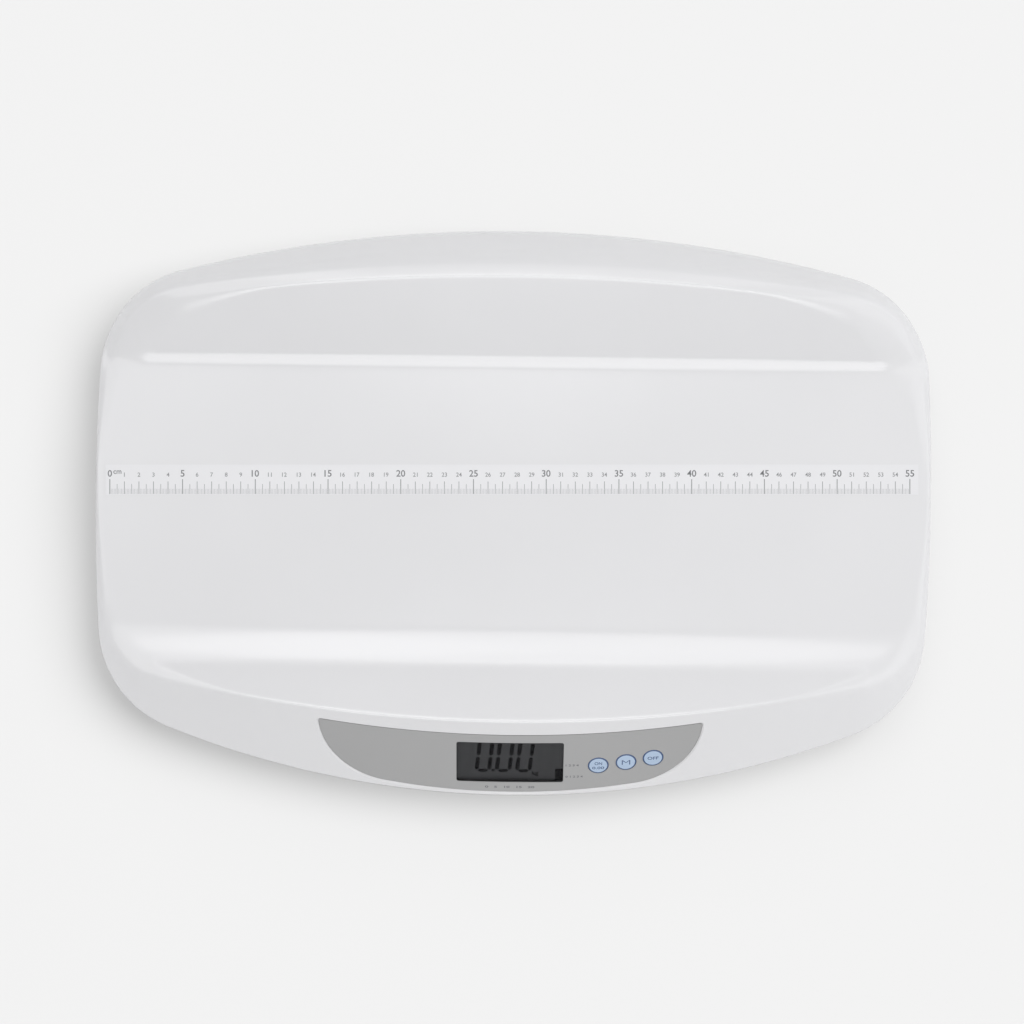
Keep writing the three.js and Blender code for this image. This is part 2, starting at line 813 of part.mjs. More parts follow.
function controlPanel() {
  const holes = [
    windowSlab(0, -panelReach, panelReach),
    ...keys.map((key) => keyRod(key, keyRadius + runningGap, -panelReach, panelReach)),
  ];
  return solidOf(onPanel(slab(panelShape(0), -panelReach, panelReach)))
    .intersect(apronSunk(panelSink))
    .subtract(apronSunk(panelSink + panelThickness))
    .subtract(joined(holes));
}

addPiece('control_panel', geometryOf(controlPanel()), looks.silver);

// Window, display frame, glass and its two elastomer connectors

function displayParts() {
  const [lensX, lensY] = [windowHalfLength + windowLedge, windowHalfHeight + windowLedge];
  const lensBottom = windowSink + windowThickness;
  const lensShape = () => roundedRect(lensX, lensY, windowCorner);
  const lens = slab(lensShape(), -lensBottom, -windowSink, smallArcSteps);
  addPiece('display_window', lens, looks.clear, panelGroup);

  const glassBottom = glassSink + glassThickness;
  const glassHalfLength = windowHalfLength + glassMargin;
  const glassHalfHeight = windowHalfHeight + glassMargin;
  const pocketX = glassHalfLength + runningGap;
  const pocketY = glassHalfHeight + runningGap;
  const pocketTop = glassSink - runningGap;
  const frameBottom = boardSink - runningGap;
  const below = -boardSink - overrun;
  const centred = (halfX, halfY, low, high) => block(-halfX, halfX, -halfY, halfY, low, high);
  const body = [
    centred(lensX + frameEdgeSide, lensY + frameEdgeUp, -frameBottom, -frameTopSink),
    slab(lensShape(), -frameBottom, -lensBottom - runningGap, smallArcSteps),
  ];
  const hollow = [
    centred(windowHalfLength, windowHalfHeight, below, overrun),
    centred(pocketX, pocketY, below, -pocketTop),
  ];
  addPiece('lcd_frame', geometryOf(joined(body).subtract(joined(hollow))), looks.black, panelGroup);

  const glass = centred(glassHalfLength, glassHalfHeight, -glassBottom, -glassSink);
  addPiece('lcd_glass', glass, looks.glass, panelGroup);

  const inner = glassHalfHeight - connectorInset - connectorWidth;
  const strip = () => block(
    -glassHalfLength, glassHalfLength, inner, inner + connectorWidth,
    runningGap - boardSink, -glassBottom - runningGap,
  );
  addPiece('lcd_connector_upper', strip(), looks.elastomer, panelGroup);
  const lower = strip().translate(0, -connectorWidth - inner - inner, 0);
  addPiece('lcd_connector_lower', lower, looks.elastomer, panelGroup);
}

displayParts();

// Keys: a cap flush with the curved panel, a flange behind the wall and a stem over the switch

const switchHeight = switchBodyHeight + switchPlungerHeight;
const stemBottom = switchHeight + keyTravel + runningGap - boardSink;

function keyCap(key) {
  const cap = solidOf(keyRod(key, keyRadius, stemBottom, panelReach))
    .intersect(apronSunk(panelSink - keyProud))
    .subtract(apronSunk(wall + runningGap + keyFlangeThickness));
  const flange = solidOf(keyRod(key, keyRadius + keyFlange, stemBottom, panelReach))
    .intersect(apronSunk(wall + runningGap))
    .subtract(apronSunk(wall + runningGap + keyFlangeThickness));
  const stem = solidOf(keyRod(key, keyStemRadius, stemBottom, panelReach))
    .intersect(apronSunk(wall));
  return cap.add(flange).add(stem);
}

function keySwitch(key) {
  const half = switchSize / 2;
  const bottom = runningGap - boardSink;
  const bodyTop = switchBodyHeight - boardSink;
  const top = switchHeight - boardSink;
  return joined([
    block(key.x - half, key.x + half, key.up - half, key.up + half, bottom, bodyTop),
    rod(switchPlungerRadius, key.x, key.up, bottom, top, smallRodSides),
  ]);
}

for (const key of keys) {
  addPiece(`button_${key.name}`, geometryOf(keyCap(key)), looks.key);
  addPiece(`key_switch_${key.name}`, geometryOf(keySwitch(key)), looks.black, panelGroup);
}

// Control board with its chip and lead header on the back

const boardBack = boardSink + boardThickness;

function controlBoard() {
  const board = block(
    -boardLeft, boardRight, -boardHalfHeight, boardHalfHeight, -boardBack, -boardSink - runningGap,
  );
  const holes = postPlaces.map(([x, y]) => rod(
    boardHoleRadius, x, y, -boardBack - overrun, overrun - boardSink, smallRodSides,
  ));
  return solidOf(board).subtract(joined(holes));
}

function boardParts() {
  addPiece('control_board', geometryOf(controlBoard()), looks.board, panelGroup);
  const back = -boardBack - runningGap;
  const half = chipSize / 2;
  const chip = block(chipX - half, chipX + half, -half, half, back - chipThickness, back);
  addPiece('board_chip', chip, looks.black, panelGroup);
  const header = block(
    headerX - headerLength / 2, headerX + headerLength / 2,
    headerUp - headerWidth / 2, headerUp + headerWidth / 2, back - headerHeight, back,
  );
  addPiece('sensor_connector', header, looks.ivory, panelGroup);
  postPlaces.forEach(([x, y], i) => {
    const head = back - boardScrewHeadHeight;
    const screw = turned([
      [0, head], [boardScrewHeadRadius, head], [boardScrewHeadRadius, back],
      [boardScrewRadius, back], [boardScrewRadius, boardScrewLength - boardSink - runningGap - overrun],
      [0, boardScrewLength - boardSink - runningGap - overrun],
    ], screwSides);
    addPiece(`board_screw_${i + 1}`, screw.translate(x, y, 0), looks.steel, panelGroup);
  });
}

boardParts();

// Battery well in the cover: its inside faces, shared by cells, contacts and door

const wellHalfLength = (cellCount * cellPitch) / 2 + wellSideGap;
const wellLength = cellBodyLength + cellNubLength + springHeight + (contactThickness + runningGap) * 2;
const wellRearY = -wellFrontY + wellLength;
const doorTop = coverBottom + doorThickness;
const cellAxis = doorTop + runningGap + cellRadius;
const wellTop = cellAxis + cellRadius + runningGap;
const doorHalfLength = wellHalfLength + wellWall + doorSideReach;
const doorFrontY = -wellFrontY - wellWall - doorFrontReach;
const hingeY = wellRearY + wellWall + hingeBehindWell;
const hingeZ = coverBottom + barrelRadius + runningGap / 2;
const cellX = (i) => (i - (cellCount - 1) / 2) * cellPitch;
const plusAtFront = (i) => i % 2 === 0;

function tabBlock(i, margin) {
  const half = tabWidth / 2 + margin;
  const thick = tabThickness / 2 + margin;
  return block(
    cellX(i) - half, cellX(i) + half, -wellFrontY - tabReach, -wellFrontY,
    cellAxis - thick, cellAxis + thick,
  );
}

function wellSolids() {
  const outerX = wellHalfLength + wellWall;
  const ledgeX = doorHalfLength + ledgeReach;
  const blockY = hingeY + barrelRadius + hingeBlockDepth;
  const low = coverTop - overrun;
  return [
    block(-outerX, outerX, -wellFrontY - wellWall, wellRearY + wellWall, coverTop, wellTop + wellWall),
    block(-ledgeX, ledgeX, doorFrontY - ledgeReach, blockY, low, coverTop + ledgeThickness),
    block(-ledgeX, ledgeX, hingeY - barrelRadius - wellWall, blockY, low, coverBottom + hingeBlockHeight),
  ];
}

function alongX(radius, halfX) {
  return rod(radius, 0, 0, -halfX, halfX, smallRodSides)
    .rotateY(Math.PI / 2)
    .translate(0, hingeY, hingeZ);
}

function wellCuts() {
  const gapX = doorHalfLength + doorGap;
  const low = coverBottom - overrun;
  const latchHalf = latchWidth / 2 + doorGap;
  const latchY = doorFrontY + latchInset;
  const latchTop = coverTop + ledgeThickness + overrun;
  const barrelGap = barrelRadius + doorGap;
  return [
    block(-wellHalfLength, wellHalfLength, -wellFrontY, wellRearY, low, wellTop),
    block(-gapX, gapX, doorFrontY - doorGap, hingeY, low, coverTop),
    block(-gapX, gapX, hingeY - barrelGap, hingeY + barrelGap, low, hingeZ),
    alongX(barrelGap, gapX),
    alongX(hingePinRadius + runningGap, doorHalfLength + hingePinLength + runningGap),
    block(-latchHalf, latchHalf, latchY - doorGap, latchY + latchThickness + doorGap, low, latchTop),
    ...[0, cellCount - 1].map((i) => tabBlock(i, runningGap)),
  ];
}

// The cover plate with its rim, foot holes, load cell fences, screw holes and the battery well

function outlineShape(inset) {
  const arcs = hemOutline(inset);
  const right = stationsOn(arcs, [], innerArcSteps).map((station) => pointOn(arcs, station));
  const left = right.slice(1, -1).reverse().map(({ x, y }) => ({ x: -x, y }));
  return new THREE.Shape([...right, ...left].reverse().map(({ x, y }) => new THREE.Vector2(x, y)));
}

function footCollars() {
  const shape = polygonShape(collarRadius, rodSides);
  shape.holes.push(polygonShape(collarRadius - collarWidth, rodSides));
  return Object.values(footPlaces).map(([x, y]) => (
    slab(shape, coverBottom - collarHeight, coverBottom + coverThickness / 2).translate(x, y, 0)
  ));
}

function ratingRecess() {
  return slab(
    roundedRect(plateHalfLength, plateHalfWidth, plateCorner),
    coverBottom - overrun, coverBottom + plateDepth, smallArcSteps,
  ).translate(0, plateCentreY, 0);
}

function baseCover() {
  const inset = wall + coverGap;
  const plate = slab(outlineShape(inset), coverBottom, coverTop);
  const rimShape = outlineShape(inset);
  rimShape.holes.push(outlineShape(inset + coverRimThickness));
  const rim = slab(rimShape, coverTop - coverThickness / 2, coverTop + coverRimHeight);
  const places = Object.values(footPlaces);
  const fenceHalf = cellHalfSize + runningGap + fenceThickness;
  const fences = places.map(([x, y]) => squareTube(
    x, y, fenceHalf, fenceThickness, coverTop - coverThickness / 2, coverTop + fenceHeight,
  ));
  const notches = places.map(([x, y]) => block(
    x - Math.sign(x) * fenceHalf - fenceNotch / 2, x - Math.sign(x) * fenceHalf + fenceNotch / 2,
    y - fenceNotch / 2, y + fenceNotch / 2, coverTop, coverTop + fenceHeight + overrun,
  ));
  const [below, above] = [coverBottom - overrun, coverTop + overrun];
  const footHoles = places.map(([x, y]) => rod(cellHoleRadius, x, y, below, above));
  const [headRoom, padBottom] = [caseScrewHeadRadius + caseHeadRoom, coverTop - coverThickness / 2];
  const screwPads = caseScrewPlaces
    .map(([x, y]) => rod(screwPadRadius, x, y, padBottom, padTop, smallRodSides));
  const screwHoles = caseScrewPlaces.flatMap(([x, y]) => [
    rod(caseHoleRadius, x, y, below, padTop + overrun, smallRodSides),
    rod(headRoom, x, y, below, headTop, smallRodSides),
  ]);
  return joined([plate, rim, ...fences, ...screwPads, ...footCollars(), ...wellSolids()])
    .subtract(joined([ratingRecess(), ...notches, ...footHoles, ...screwHoles, ...wellCuts()]));
}

addPiece('base_cover', geometryOf(baseCover()), looks.cover);

// Battery door: plate, hinge barrel with its two pins, latch tongue and a finger hollow

function batteryDoor() {
  const plateY = hingeY - barrelRadius / 2;
  const latchY = doorFrontY + latchInset;
  const half = latchWidth / 2;
  const middle = doorTop - doorThickness / 2;
  const ribs = Array.from({ length: gripRibCount }, (_, i) => {
    const y = doorFrontY + gripRadius + gripRibPitch * (i + 1);
    return block(
      -gripRibHalfLength, gripRibHalfLength, y, y + gripRibWidth, coverBottom - gripRibHeight, middle,
    );
  });
  const solids = joined([
    ...ribs,
    block(-doorHalfLength, doorHalfLength, doorFrontY, plateY, coverBottom, doorTop),
    alongX(barrelRadius, doorHalfLength),
    alongX(hingePinRadius, doorHalfLength + hingePinLength),
    block(-half, half, latchY, latchY + latchThickness, middle, doorTop + latchHeight),
  ]);
  const grip = new THREE.SphereGeometry(gripRadius, smallRodSides, smallRodSides)
    .translate(0, doorFrontY + gripRadius / 2 + latchInset, coverBottom - gripRadius + gripDepth);
  return solids.subtract(solidOf(grip));
}

addPiece('battery_door', geometryOf(batteryDoor()), looks.cover);

// Cells lie side by side and face opposite ways in turn

function batteryCell() {
  const shoulder = cellBodyLength - cellBevel;
  return turned([
    [0, 0], [cellRadius - cellBevel, 0], [cellRadius, cellBevel], [cellRadius, shoulder],
    [cellRadius - cellBevel, cellBodyLength], [cellNubRadius, cellBodyLength],
    [cellNubRadius, cellBodyLength + cellNubLength], [0, cellBodyLength + cellNubLength],
  ], smallRodSides);
}

for (let i = 0; i < cellCount; i += 1) {
  const cell = addPiece(`battery_cell_${i + 1}`, batteryCell(), looks.cellSleeve);
  const minusGap = contactThickness + springHeight + runningGap;
  const y = plusAtFront(i) ? wellRearY - minusGap : minusGap - wellFrontY;
  cell.position.set(cellX(i), y, cellAxis);
  cell.rotation.x = plusAtFront(i) ? Math.PI / 2 : -Math.PI / 2;
}

// Contact springs: one tapering wire helix each

class SpringCurve extends THREE.Curve {
  getPoint(t) {
    const turn = t * springTurns * Math.PI * 2;
    const radius = springBaseRadius + (springTipRadius - springBaseRadius) * t;
    const z = springWire / 2 + (springHeight - springWire) * t;
    return new THREE.Vector3(radius * Math.cos(turn), radius * Math.sin(turn), z);
  }
}

function contactSpring() {
  return new THREE.ExtrudeGeometry(polygonShape(springWire / 2, springSides), {
    steps: springTurns * springStepsPerTurn,
    extrudePath: new SpringCurve(),
    bevelEnabled: false,
  });
}

function springGap() {
  const points = new SpringCurve().getPoints(springTurns * springStepsPerTurn);
  let least = Infinity;
  points.forEach((point, i) => {
    for (let j = i + springStepsPerTurn / 2; j < points.length; j += 1) {
      least = Math.min(least, point.distanceTo(points[j]) - springWire);
    }
  });
  return least;
}

console.log(`contact spring: least gap between turns ${springGap().toFixed(2)} mm`);

// Contact plates on the well's end walls, with a spring before each cell's flat end

function contactPlate(cells, atFront) {
  const half = contactWidth / 2;
  const face = atFront ? -wellFrontY : wellRearY;
  const inner = atFront ? face + contactThickness : face - contactThickness;
  const plate = block(
    cellX(cells[0]) - half, cellX(cells[cells.length - 1]) + half,
    Math.min(face, inner), Math.max(face, inner),
    cellAxis - contactHeight / 2, cellAxis + contactHeight / 2,
  );
  const springs = cells.filter((i) => plusAtFront(i) !== atFront).map((i) => {
    const away = atFront ? -springWire / 2 : springWire / 2;
    return contactSpring()
      .rotateX(atFront ? -Math.PI / 2 : Math.PI / 2)
      .translate(cellX(i), inner + away, cellAxis);
  });
  const atPlate = contactThickness / 2;
  const tabs = cells.length === 1 ? [tabBlock(cells[0], 0).translate(0, atPlate, 0)] : [];
  return joined([plate, ...springs, ...tabs]);
}

const lastCell = cellCount - 1;
const contactCells = {
  contact_front_left: [[0], true],
  contact_front_middle: [[1, lastCell - 1], true],
  contact_front_right: [[lastCell], true],
  contact_rear_left: [[0, 1], false],
  contact_rear_right: [[lastCell - 1, lastCell], false],
};
for (const [name, [cells, atFront]] of Object.entries(contactCells)) {
  addPiece(name, geometryOf(contactPlate(cells, atFront)), looks.steel);
}

// Feet: soft pad, cup with its stem, and the stamped load cell that the stem presses

function rubberFoot() {
  return turned([
    [0, 0], [padRadius - padChamfer, 0], [padRadius, padChamfer],
    [padRadius, padHeight], [0, padHeight],
  ]);
}

function footCup() {
  const inner = padRadius + runningGap;
  const outer = inner + cupRimThickness;
  const plateTop = padHeight + cupTopThickness;
  return turned([
    [0, padHeight], [inner, padHeight],
    [inner, padHeight - cupRimDrop], [outer, padHeight - cupRimDrop],
    [outer, plateTop], [cupStemRadius, plateTop + cupConeHeight],
    [cupStemRadius, coverTop], [0, coverTop],
  ]);
}

function loadCell() {
  const shape = roundedRect(cellHalfSize, cellHalfSize, cellCorner);
  const outer = cellHalfSize - cellFrameWidth;
  const inner = outer - cellSlotWidth;
  const tongue = cellTongueWidth / 2;
  shape.holes.push(new THREE.Path([
    [-tongue, -outer], [-outer, -outer], [-outer, outer],
    [outer, outer], [outer, -outer], [tongue, -outer],
    [tongue, -inner], [inner, -inner], [inner, inner],
    [-inner, inner], [-inner, -inner], [-tongue, -inner],
  ].map(([x, y]) => new THREE.Vector2(x, y))));
  return slab(shape, coverTop, cellTop, smallArcSteps);
}

for (const [corner, [x, y]] of Object.entries(footPlaces)) {
  addPiece(`rubber_foot_${corner}`, rubberFoot().translate(x, y, 0), looks.rubber);
  addPiece(`foot_cup_${corner}`, footCup().translate(x, y, 0), looks.cover);
  addPiece(`load_cell_${corner}`, loadCell().translate(x, y, 0), looks.steel);
}

// Screws from below through the cover into the tray's bosses

caseScrewPlaces.forEach(([x, y], i) => {
  const head = headTop - caseScrewHeadHeight;
  const tip = headTop + caseScrewLength;
  const screw = turned([
    [0, head], [caseScrewHeadRadius, head], [caseScrewHeadRadius, headTop],
    [caseScrewRadius, headTop], [caseScrewRadius, tip], [0, tip],
  ], screwSides);
  addPiece(`case_screw_${i + 1}`, screw.translate(x, y, 0), looks.steel);
});

// Leads inside the housing, each one round wire along its route

function lead(points, radius, steps) {
  return new THREE.ExtrudeGeometry(polygonShape(radius, leadSides), {
    steps,
    extrudePath: new THREE.CatmullRomCurve3(points),
    bevelEnabled: false,
  });
}

function sensorLead(corner, i) {
  const [footPlaceX, footPlaceY] = footPlaces[corner];
  const z = coverTop + runningGap + leadRadius;
  const startX = footPlaceX - Math.sign(footPlaceX) * (cellHalfSize + runningGap);
  const endX = headerX + (i - (Object.keys(leadRoutes).length - 1) / 2) * leadPitch;
  const endSink = -boardBack - headerHeight - runningGap * 2;
  const end = new THREE.Vector3(endX, headerUp, endSink).applyMatrix4(panelFrame);
  const before = end.clone().addScaledVector(panelNormal, -leadRise);
  return lead([
    new THREE.Vector3(startX, footPlaceY, z),
    ...leadRoutes[corner].map(([x, y]) => new THREE.Vector3(x, y, z)),
    new THREE.Vector3(endX, leadBendInset - halfWidth, z + leadRadius),
    before,
    end,
  ], leadRadius, leadSteps);
}

function batteryLead(i) {
  const x = cellX(i);
  const startY = -wellFrontY - tabReach + contactThickness / 2 - runningGap;
  const end = new THREE.Vector3(x, batteryLeadUp, -boardBack - runningGap).applyMatrix4(panelFrame);
  const before = end.clone().addScaledVector(panelNormal, -batteryLeadRise);
  return lead([
    new THREE.Vector3(x, startY, cellAxis),
    before,
    end,
  ], batteryLeadRadius, batteryLeadSteps);
}

Object.keys(leadRoutes).forEach((corner, i) => {
  addPiece(`sensor_lead_${corner}`, sensorLead(corner, i), looks.black);
});
addPiece('battery_lead_plus', batteryLead(0), looks.redLead);
addPiece('battery_lead_minus', batteryLead(cellCount - 1), looks.black);

console.log(`panel slope ${THREE.MathUtils.radToDeg(apronAngle).toFixed(3)} degrees`);

export default scale;
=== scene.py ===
# %% [markdown]
# A digital baby weighing scale: a long white trough that a baby lies in, with a centimetre rule
# along its floor and a silver panel with a display and three keys in its front apron. It stands on
# four rubber feet, each under a load cell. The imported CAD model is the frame. It holds the real
# sizes, so every new piece here is built in the same place, in metres, and none is moved to fit.

# %% Load the frame
import json
import math

import bmesh
import bpy
from mathutils import Matrix, Vector
from mathutils.bvhtree import BVHTree


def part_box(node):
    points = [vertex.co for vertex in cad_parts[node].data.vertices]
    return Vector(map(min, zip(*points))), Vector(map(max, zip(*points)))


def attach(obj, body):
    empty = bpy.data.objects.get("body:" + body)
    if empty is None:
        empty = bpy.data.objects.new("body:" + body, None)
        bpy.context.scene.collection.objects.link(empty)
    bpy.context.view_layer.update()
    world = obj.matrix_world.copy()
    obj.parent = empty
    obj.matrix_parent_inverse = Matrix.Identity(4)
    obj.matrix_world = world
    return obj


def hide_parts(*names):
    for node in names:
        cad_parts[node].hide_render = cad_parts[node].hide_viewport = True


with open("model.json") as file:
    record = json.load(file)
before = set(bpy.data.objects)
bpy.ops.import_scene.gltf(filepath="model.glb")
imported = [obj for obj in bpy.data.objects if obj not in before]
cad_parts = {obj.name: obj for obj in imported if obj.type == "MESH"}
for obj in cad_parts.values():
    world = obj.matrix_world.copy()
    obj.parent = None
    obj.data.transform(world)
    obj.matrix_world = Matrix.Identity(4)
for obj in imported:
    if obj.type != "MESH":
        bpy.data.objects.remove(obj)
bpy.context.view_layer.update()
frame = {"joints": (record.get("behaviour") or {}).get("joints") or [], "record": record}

mm = 0.001

# %% [markdown]
# Every piece ends the same way: a bmesh becomes an object that rides on a CAD body, takes its
# finishes and hides any CAD node that it stands in for. Each piece could do that for itself, but
# one helper does all of it, so that no piece is left without a body.

# %% A helper that finishes a piece
edge_angle = math.radians(40)


def add_piece(name, bm, body, materials, replaced=()):
    mesh = bpy.data.meshes.new(name)
    bm.to_mesh(mesh)
    bm.free()
    for material in materials:
        mesh.materials.append(material)
    mesh.shade_smooth()
    mesh.set_sharp_from_angle(angle=edge_angle)
    piece = bpy.data.objects.new(name, mesh)
    bpy.context.scene.collection.objects.link(piece)
    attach(piece, body)
    if replaced:
        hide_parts(*replaced)
    print(f"{name}: {len(mesh.polygons)} faces on {body}")
    return piece


# %% [markdown]
# No moulded surface is perfectly even. There is a slow change in its colour and gloss, and a fine
# grain. Pictures could give both, but noise nodes need no files, and on object coordinates they
# stay fixed to the piece. One helper adds a noise, the other swings a value between two limits.

# %% Helpers for noise in a finish
def add_noise(material, scale, detail):
    nodes, links = material.node_tree.nodes, material.node_tree.links
    place = nodes.new("ShaderNodeTexCoord")
    noise = nodes.new("ShaderNodeTexNoise")
    noise.inputs["Scale"].default_value = scale
    noise.inputs["Detail"].default_value = detail
    links.new(place.outputs["Object"], noise.inputs["Vector"])
    return noise.outputs["Fac"]


def swing(material, noise, low, high, target):
    limits = material.node_tree.nodes.new("ShaderNodeMapRange")
    limits.inputs["To Min"].default_value = low
    limits.inputs["To Max"].default_value = high
    material.node_tree.links.new(noise, limits.inputs["Value"])
    material.node_tree.links.new(limits.outputs["Result"], target)


print("helpers:", add_noise.__name__, swing.__name__)

# %% [markdown]
# The body is ABS with a fine polish: bright, softly glossy, with a faint unevenness that breaks up
# its reflections. The overlay and the keys are satin, the cover is duller and the feet are matt.
# Each could have nodes of its own, but they differ in numbers and not in kind, so one function
# makes them all from a colour and a roughness.

# %% Finishes for plastic, film, ink and rubber
cloud_scale, cloud_detail = 14, 3
grain_detail, grain_depth = 2, 0.05 * mm
gloss_swing = 0.08


def grained(
    name, colour, roughness, grain=0.02, grain_scale=900, shade=0.015, metallic=0.0, specular=0.5
):
    material = bpy.data.materials.new(name)
    material.use_nodes = True
    nodes, links = material.node_tree.nodes, material.node_tree.links
    shader = nodes["Principled BSDF"]
    shader.inputs["Metallic"].default_value = metallic
    shader.inputs["Specular IOR Level"].default_value = specular
    cloud = add_noise(material, cloud_scale, cloud_detail)
    tint = nodes.new("ShaderNodeVectorMath")
    tint.operation = "SCALE"
    tint.inputs[0].default_value = colour
    swing(material, cloud, 1 - shade, 1 + shade, tint.inputs["Scale"])
    links.new(tint.outputs["Vector"], shader.inputs["Base Color"])
    dull, glossy = roughness * (1 + gloss_swing), roughness * (1 - gloss_swing)
    swing(material, cloud, glossy, dull, shader.inputs["Roughness"])
    bump = nodes.new("ShaderNodeBump")
    bump.inputs["Strength"].default_value = grain
    bump.inputs["Distance"].default_value = grain_depth
    links.new(add_noise(material, grain_scale, grain_detail), bump.inputs["Height"])
    links.new(bump.outputs["Normal"], shader.inputs["Normal"])
    return material


tray_white = grained("tray_white", (0.8, 0.8, 0.815), 0.17, grain=0.05, grain_scale=700)
cover_white = grained("cover_white", (0.72, 0.72, 0.73), 0.5, grain=0.5, grain_scale=2200)
rule_white = grained("rule_white", (0.79, 0.79, 0.81), 0.42, grain=0.1, grain_scale=1500)
panel_silver = grained(
    "panel_silver", (0.382, 0.382, 0.384), 0.42, grain=0.25, grain_scale=3200, metallic=0.25
)
key_blue = grained("key_blue", (0.45, 0.57, 0.74), 0.35, grain=0.1, grain_scale=1500)
print_blue = grained("print_blue", (0.045, 0.09, 0.21), 0.5)
print_grey = grained("print_grey", (0.16, 0.165, 0.175), 0.55)
print_pale = grained("print_pale", (0.26, 0.265, 0.275), 0.55)
soot_black = grained("soot_black", (0.02, 0.02, 0.021), 0.5, grain=0.4, grain_scale=2500)
display_grey = grained("display_grey", (0.054, 0.055, 0.059), 0.3, specular=0.2)
segment_black = grained("segment_black", (0.004, 0.004, 0.005), 0.5, specular=0.0)
segment_ghost = grained("segment_ghost", (0.046, 0.047, 0.05), 0.3, specular=0.2)
foot_rubber = grained("foot_rubber", (0.03, 0.03, 0.031), 0.8, grain=0.8, grain_scale=1800)
print("finishes:", len(bpy.data.materials))

# %% [markdown]
# Seen from above, the tray has a bowed rear, side and front edge, joined by round corners. A
# spline through measured points would follow them, but it would wobble. A draughtsman's way stays
# fair: one arc for each edge, and corner arcs that touch both neighbours. Two such outlines shape
# the tray, the skirt's hem below and the trough's edge above. Only the right half is drawn.

# %% Plan outlines as tangent arcs
hem_sizes = {
    "half_length": 289.04 * mm, "rear_y": 195.5 * mm, "front_y": 195.5 * mm,
    "rear_bow": 913 * mm, "front_bow": 650 * mm, "rear_corner": 76 * mm, "front_corner": 77 * mm,
}
trough_sizes = {
    "half_length": 281.5 * mm, "rear_y": 157 * mm, "front_y": 136.5 * mm,
    "rear_bow": 1600 * mm, "front_bow": 1120 * mm, "rear_corner": 58 * mm,
    "front_corner": 48 * mm,
}
side_bow = 1450 * mm
side_bow_y = 15 * mm


def corner_arc(bow, side, radius, towards_rear):
    """The arc of a radius that touches two others from inside; an arc is x, y and radius."""
    near, far = bow[2] - radius, side[2] - radius
    apart = Vector((side[0] - bow[0], side[1] - bow[1]))
    along = (near * near - far * far + apart.length_squared) / (2 * apart.length)
    across = math.sqrt(near * near - along * along)
    unit = apart.normalized()
    x = bow[0] + unit.x * along - towards_rear * unit.y * across
    y = bow[1] + unit.y * along + towards_rear * unit.x * across
    return (x, y, radius)


def angle_towards(first, second):
    return math.atan2(second[1] - first[1], second[0] - first[0])


def arcs_of(sizes):
    rear = (0, sizes["rear_y"] - sizes["rear_bow"], sizes["rear_bow"])
    side = (sizes["half_length"] - side_bow, side_bow_y, side_bow)
    front = (0, sizes["front_bow"] - sizes["front_y"], sizes["front_bow"])
    rear_turn = corner_arc(rear, side, sizes["rear_corner"], -1)
    front_turn = corner_arc(front, side, sizes["front_corner"], 1)
    joins = [
        math.pi / 2, angle_towards(rear, rear_turn), angle_towards(side, rear_turn),
        angle_towards(side, front_turn), angle_towards(front, front_turn), -math.pi / 2,
    ]
    arcs = [rear, rear_turn, side, front_turn, front]
    return [(*arc, joins[i], joins[i + 1]) for i, arc in enumerate(arcs)]


def point_on(arcs, station):
    """A station is the number of an arc and the share of it that is run through."""
    x, y, radius, start, end = arcs[station[0]]
    angle = start + (end - start) * station[1]
    return Vector((x + radius * math.cos(angle), y + radius * math.sin(angle), 0)), angle


trough_arcs, hem_arcs = arcs_of(trough_sizes), arcs_of(hem_sizes)
print("arcs of the hem, mm:", [round(arc[2] / mm) for arc in hem_arcs])

# %% [markdown]
# Along its length the trough has one section: a flat floor that bends up into a rear slope on a
# small radius, and into a front slope on a large one. It could be an extruded profile, but the
# rim would then have to be cut out of it. A function that gives the height at any depth lets the
# rim be draped on the slopes wherever the outline runs.

# %% Height of the trough
floor_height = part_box("measuring_strip")[0].z
rear_bend = {"start": 99 * mm, "radius": 17 * mm, "angle": math.radians(36)}
front_bend = {"start": 77 * mm, "radius": 52 * mm, "angle": math.radians(34)}


def trough_height(y):
    bend = rear_bend if y > 0 else front_bend
    run = abs(y) - bend["start"]
    if run <= 0:
        return floor_height
    reach = bend["radius"] * math.sin(bend["angle"])
    if run <= reach:
        return floor_height + bend["radius"] - math.sqrt(bend["radius"] ** 2 - run ** 2)
    rise = bend["radius"] * (1 - math.cos(bend["angle"]))
    return floor_height + rise + (run - reach) * math.tan(bend["angle"])


print("crest heights, mm:", [round(trough_height(y * mm) / mm, 1) for y in (161.5, -141)])

# %% [markdown]
# The rim rolls over a crest, swells into a shoulder at the rear, falls to a lip and drops as a
# skirt to the hem. A bevel on a sharp model would give one size all the way round, but on the
# real rim each size differs between the sides, the rear and the front. So each has three values,
# and every station blends them by the way it faces.

# %% Sizes of the rim
rim_sizes = {
    "crest": (5 * mm, 4.1 * mm, 4.2 * mm), "crest_round": (4.6 * mm, 1.5 * mm, 1.6 * mm),
    "lip_height": (31 * mm, 42 * mm, 29 * mm),
    "lip_draft": (0.7 * mm, 1.2 * mm, 1.5 * mm), "lip_reach": (6 * mm, 6 * mm, 2 * mm),
    "rise": (0, 9 * mm, 0),
}
shoulder_reach = 9 * mm
hem_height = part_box("tray_shell")[0].z
support_inset = 2 * mm
wall = 3 * mm
shoulder_share, reach_share = 0.42, 0.45
facing_low, facing_span = 0.35, 0.6


def eased(share):
    share = min(max(share, 0), 1)
    return share * share * (3 - 2 * share)


def blended(angle, key):
    share = eased((abs(math.sin(angle)) - facing_low) / facing_span)
    side, rear, front = rim_sizes[key]
    return side + ((rear if angle > 0 else front) - side) * share


print("hem at", round(hem_height / mm, 1), "mm, wall", round(wall / mm, 1), "mm")

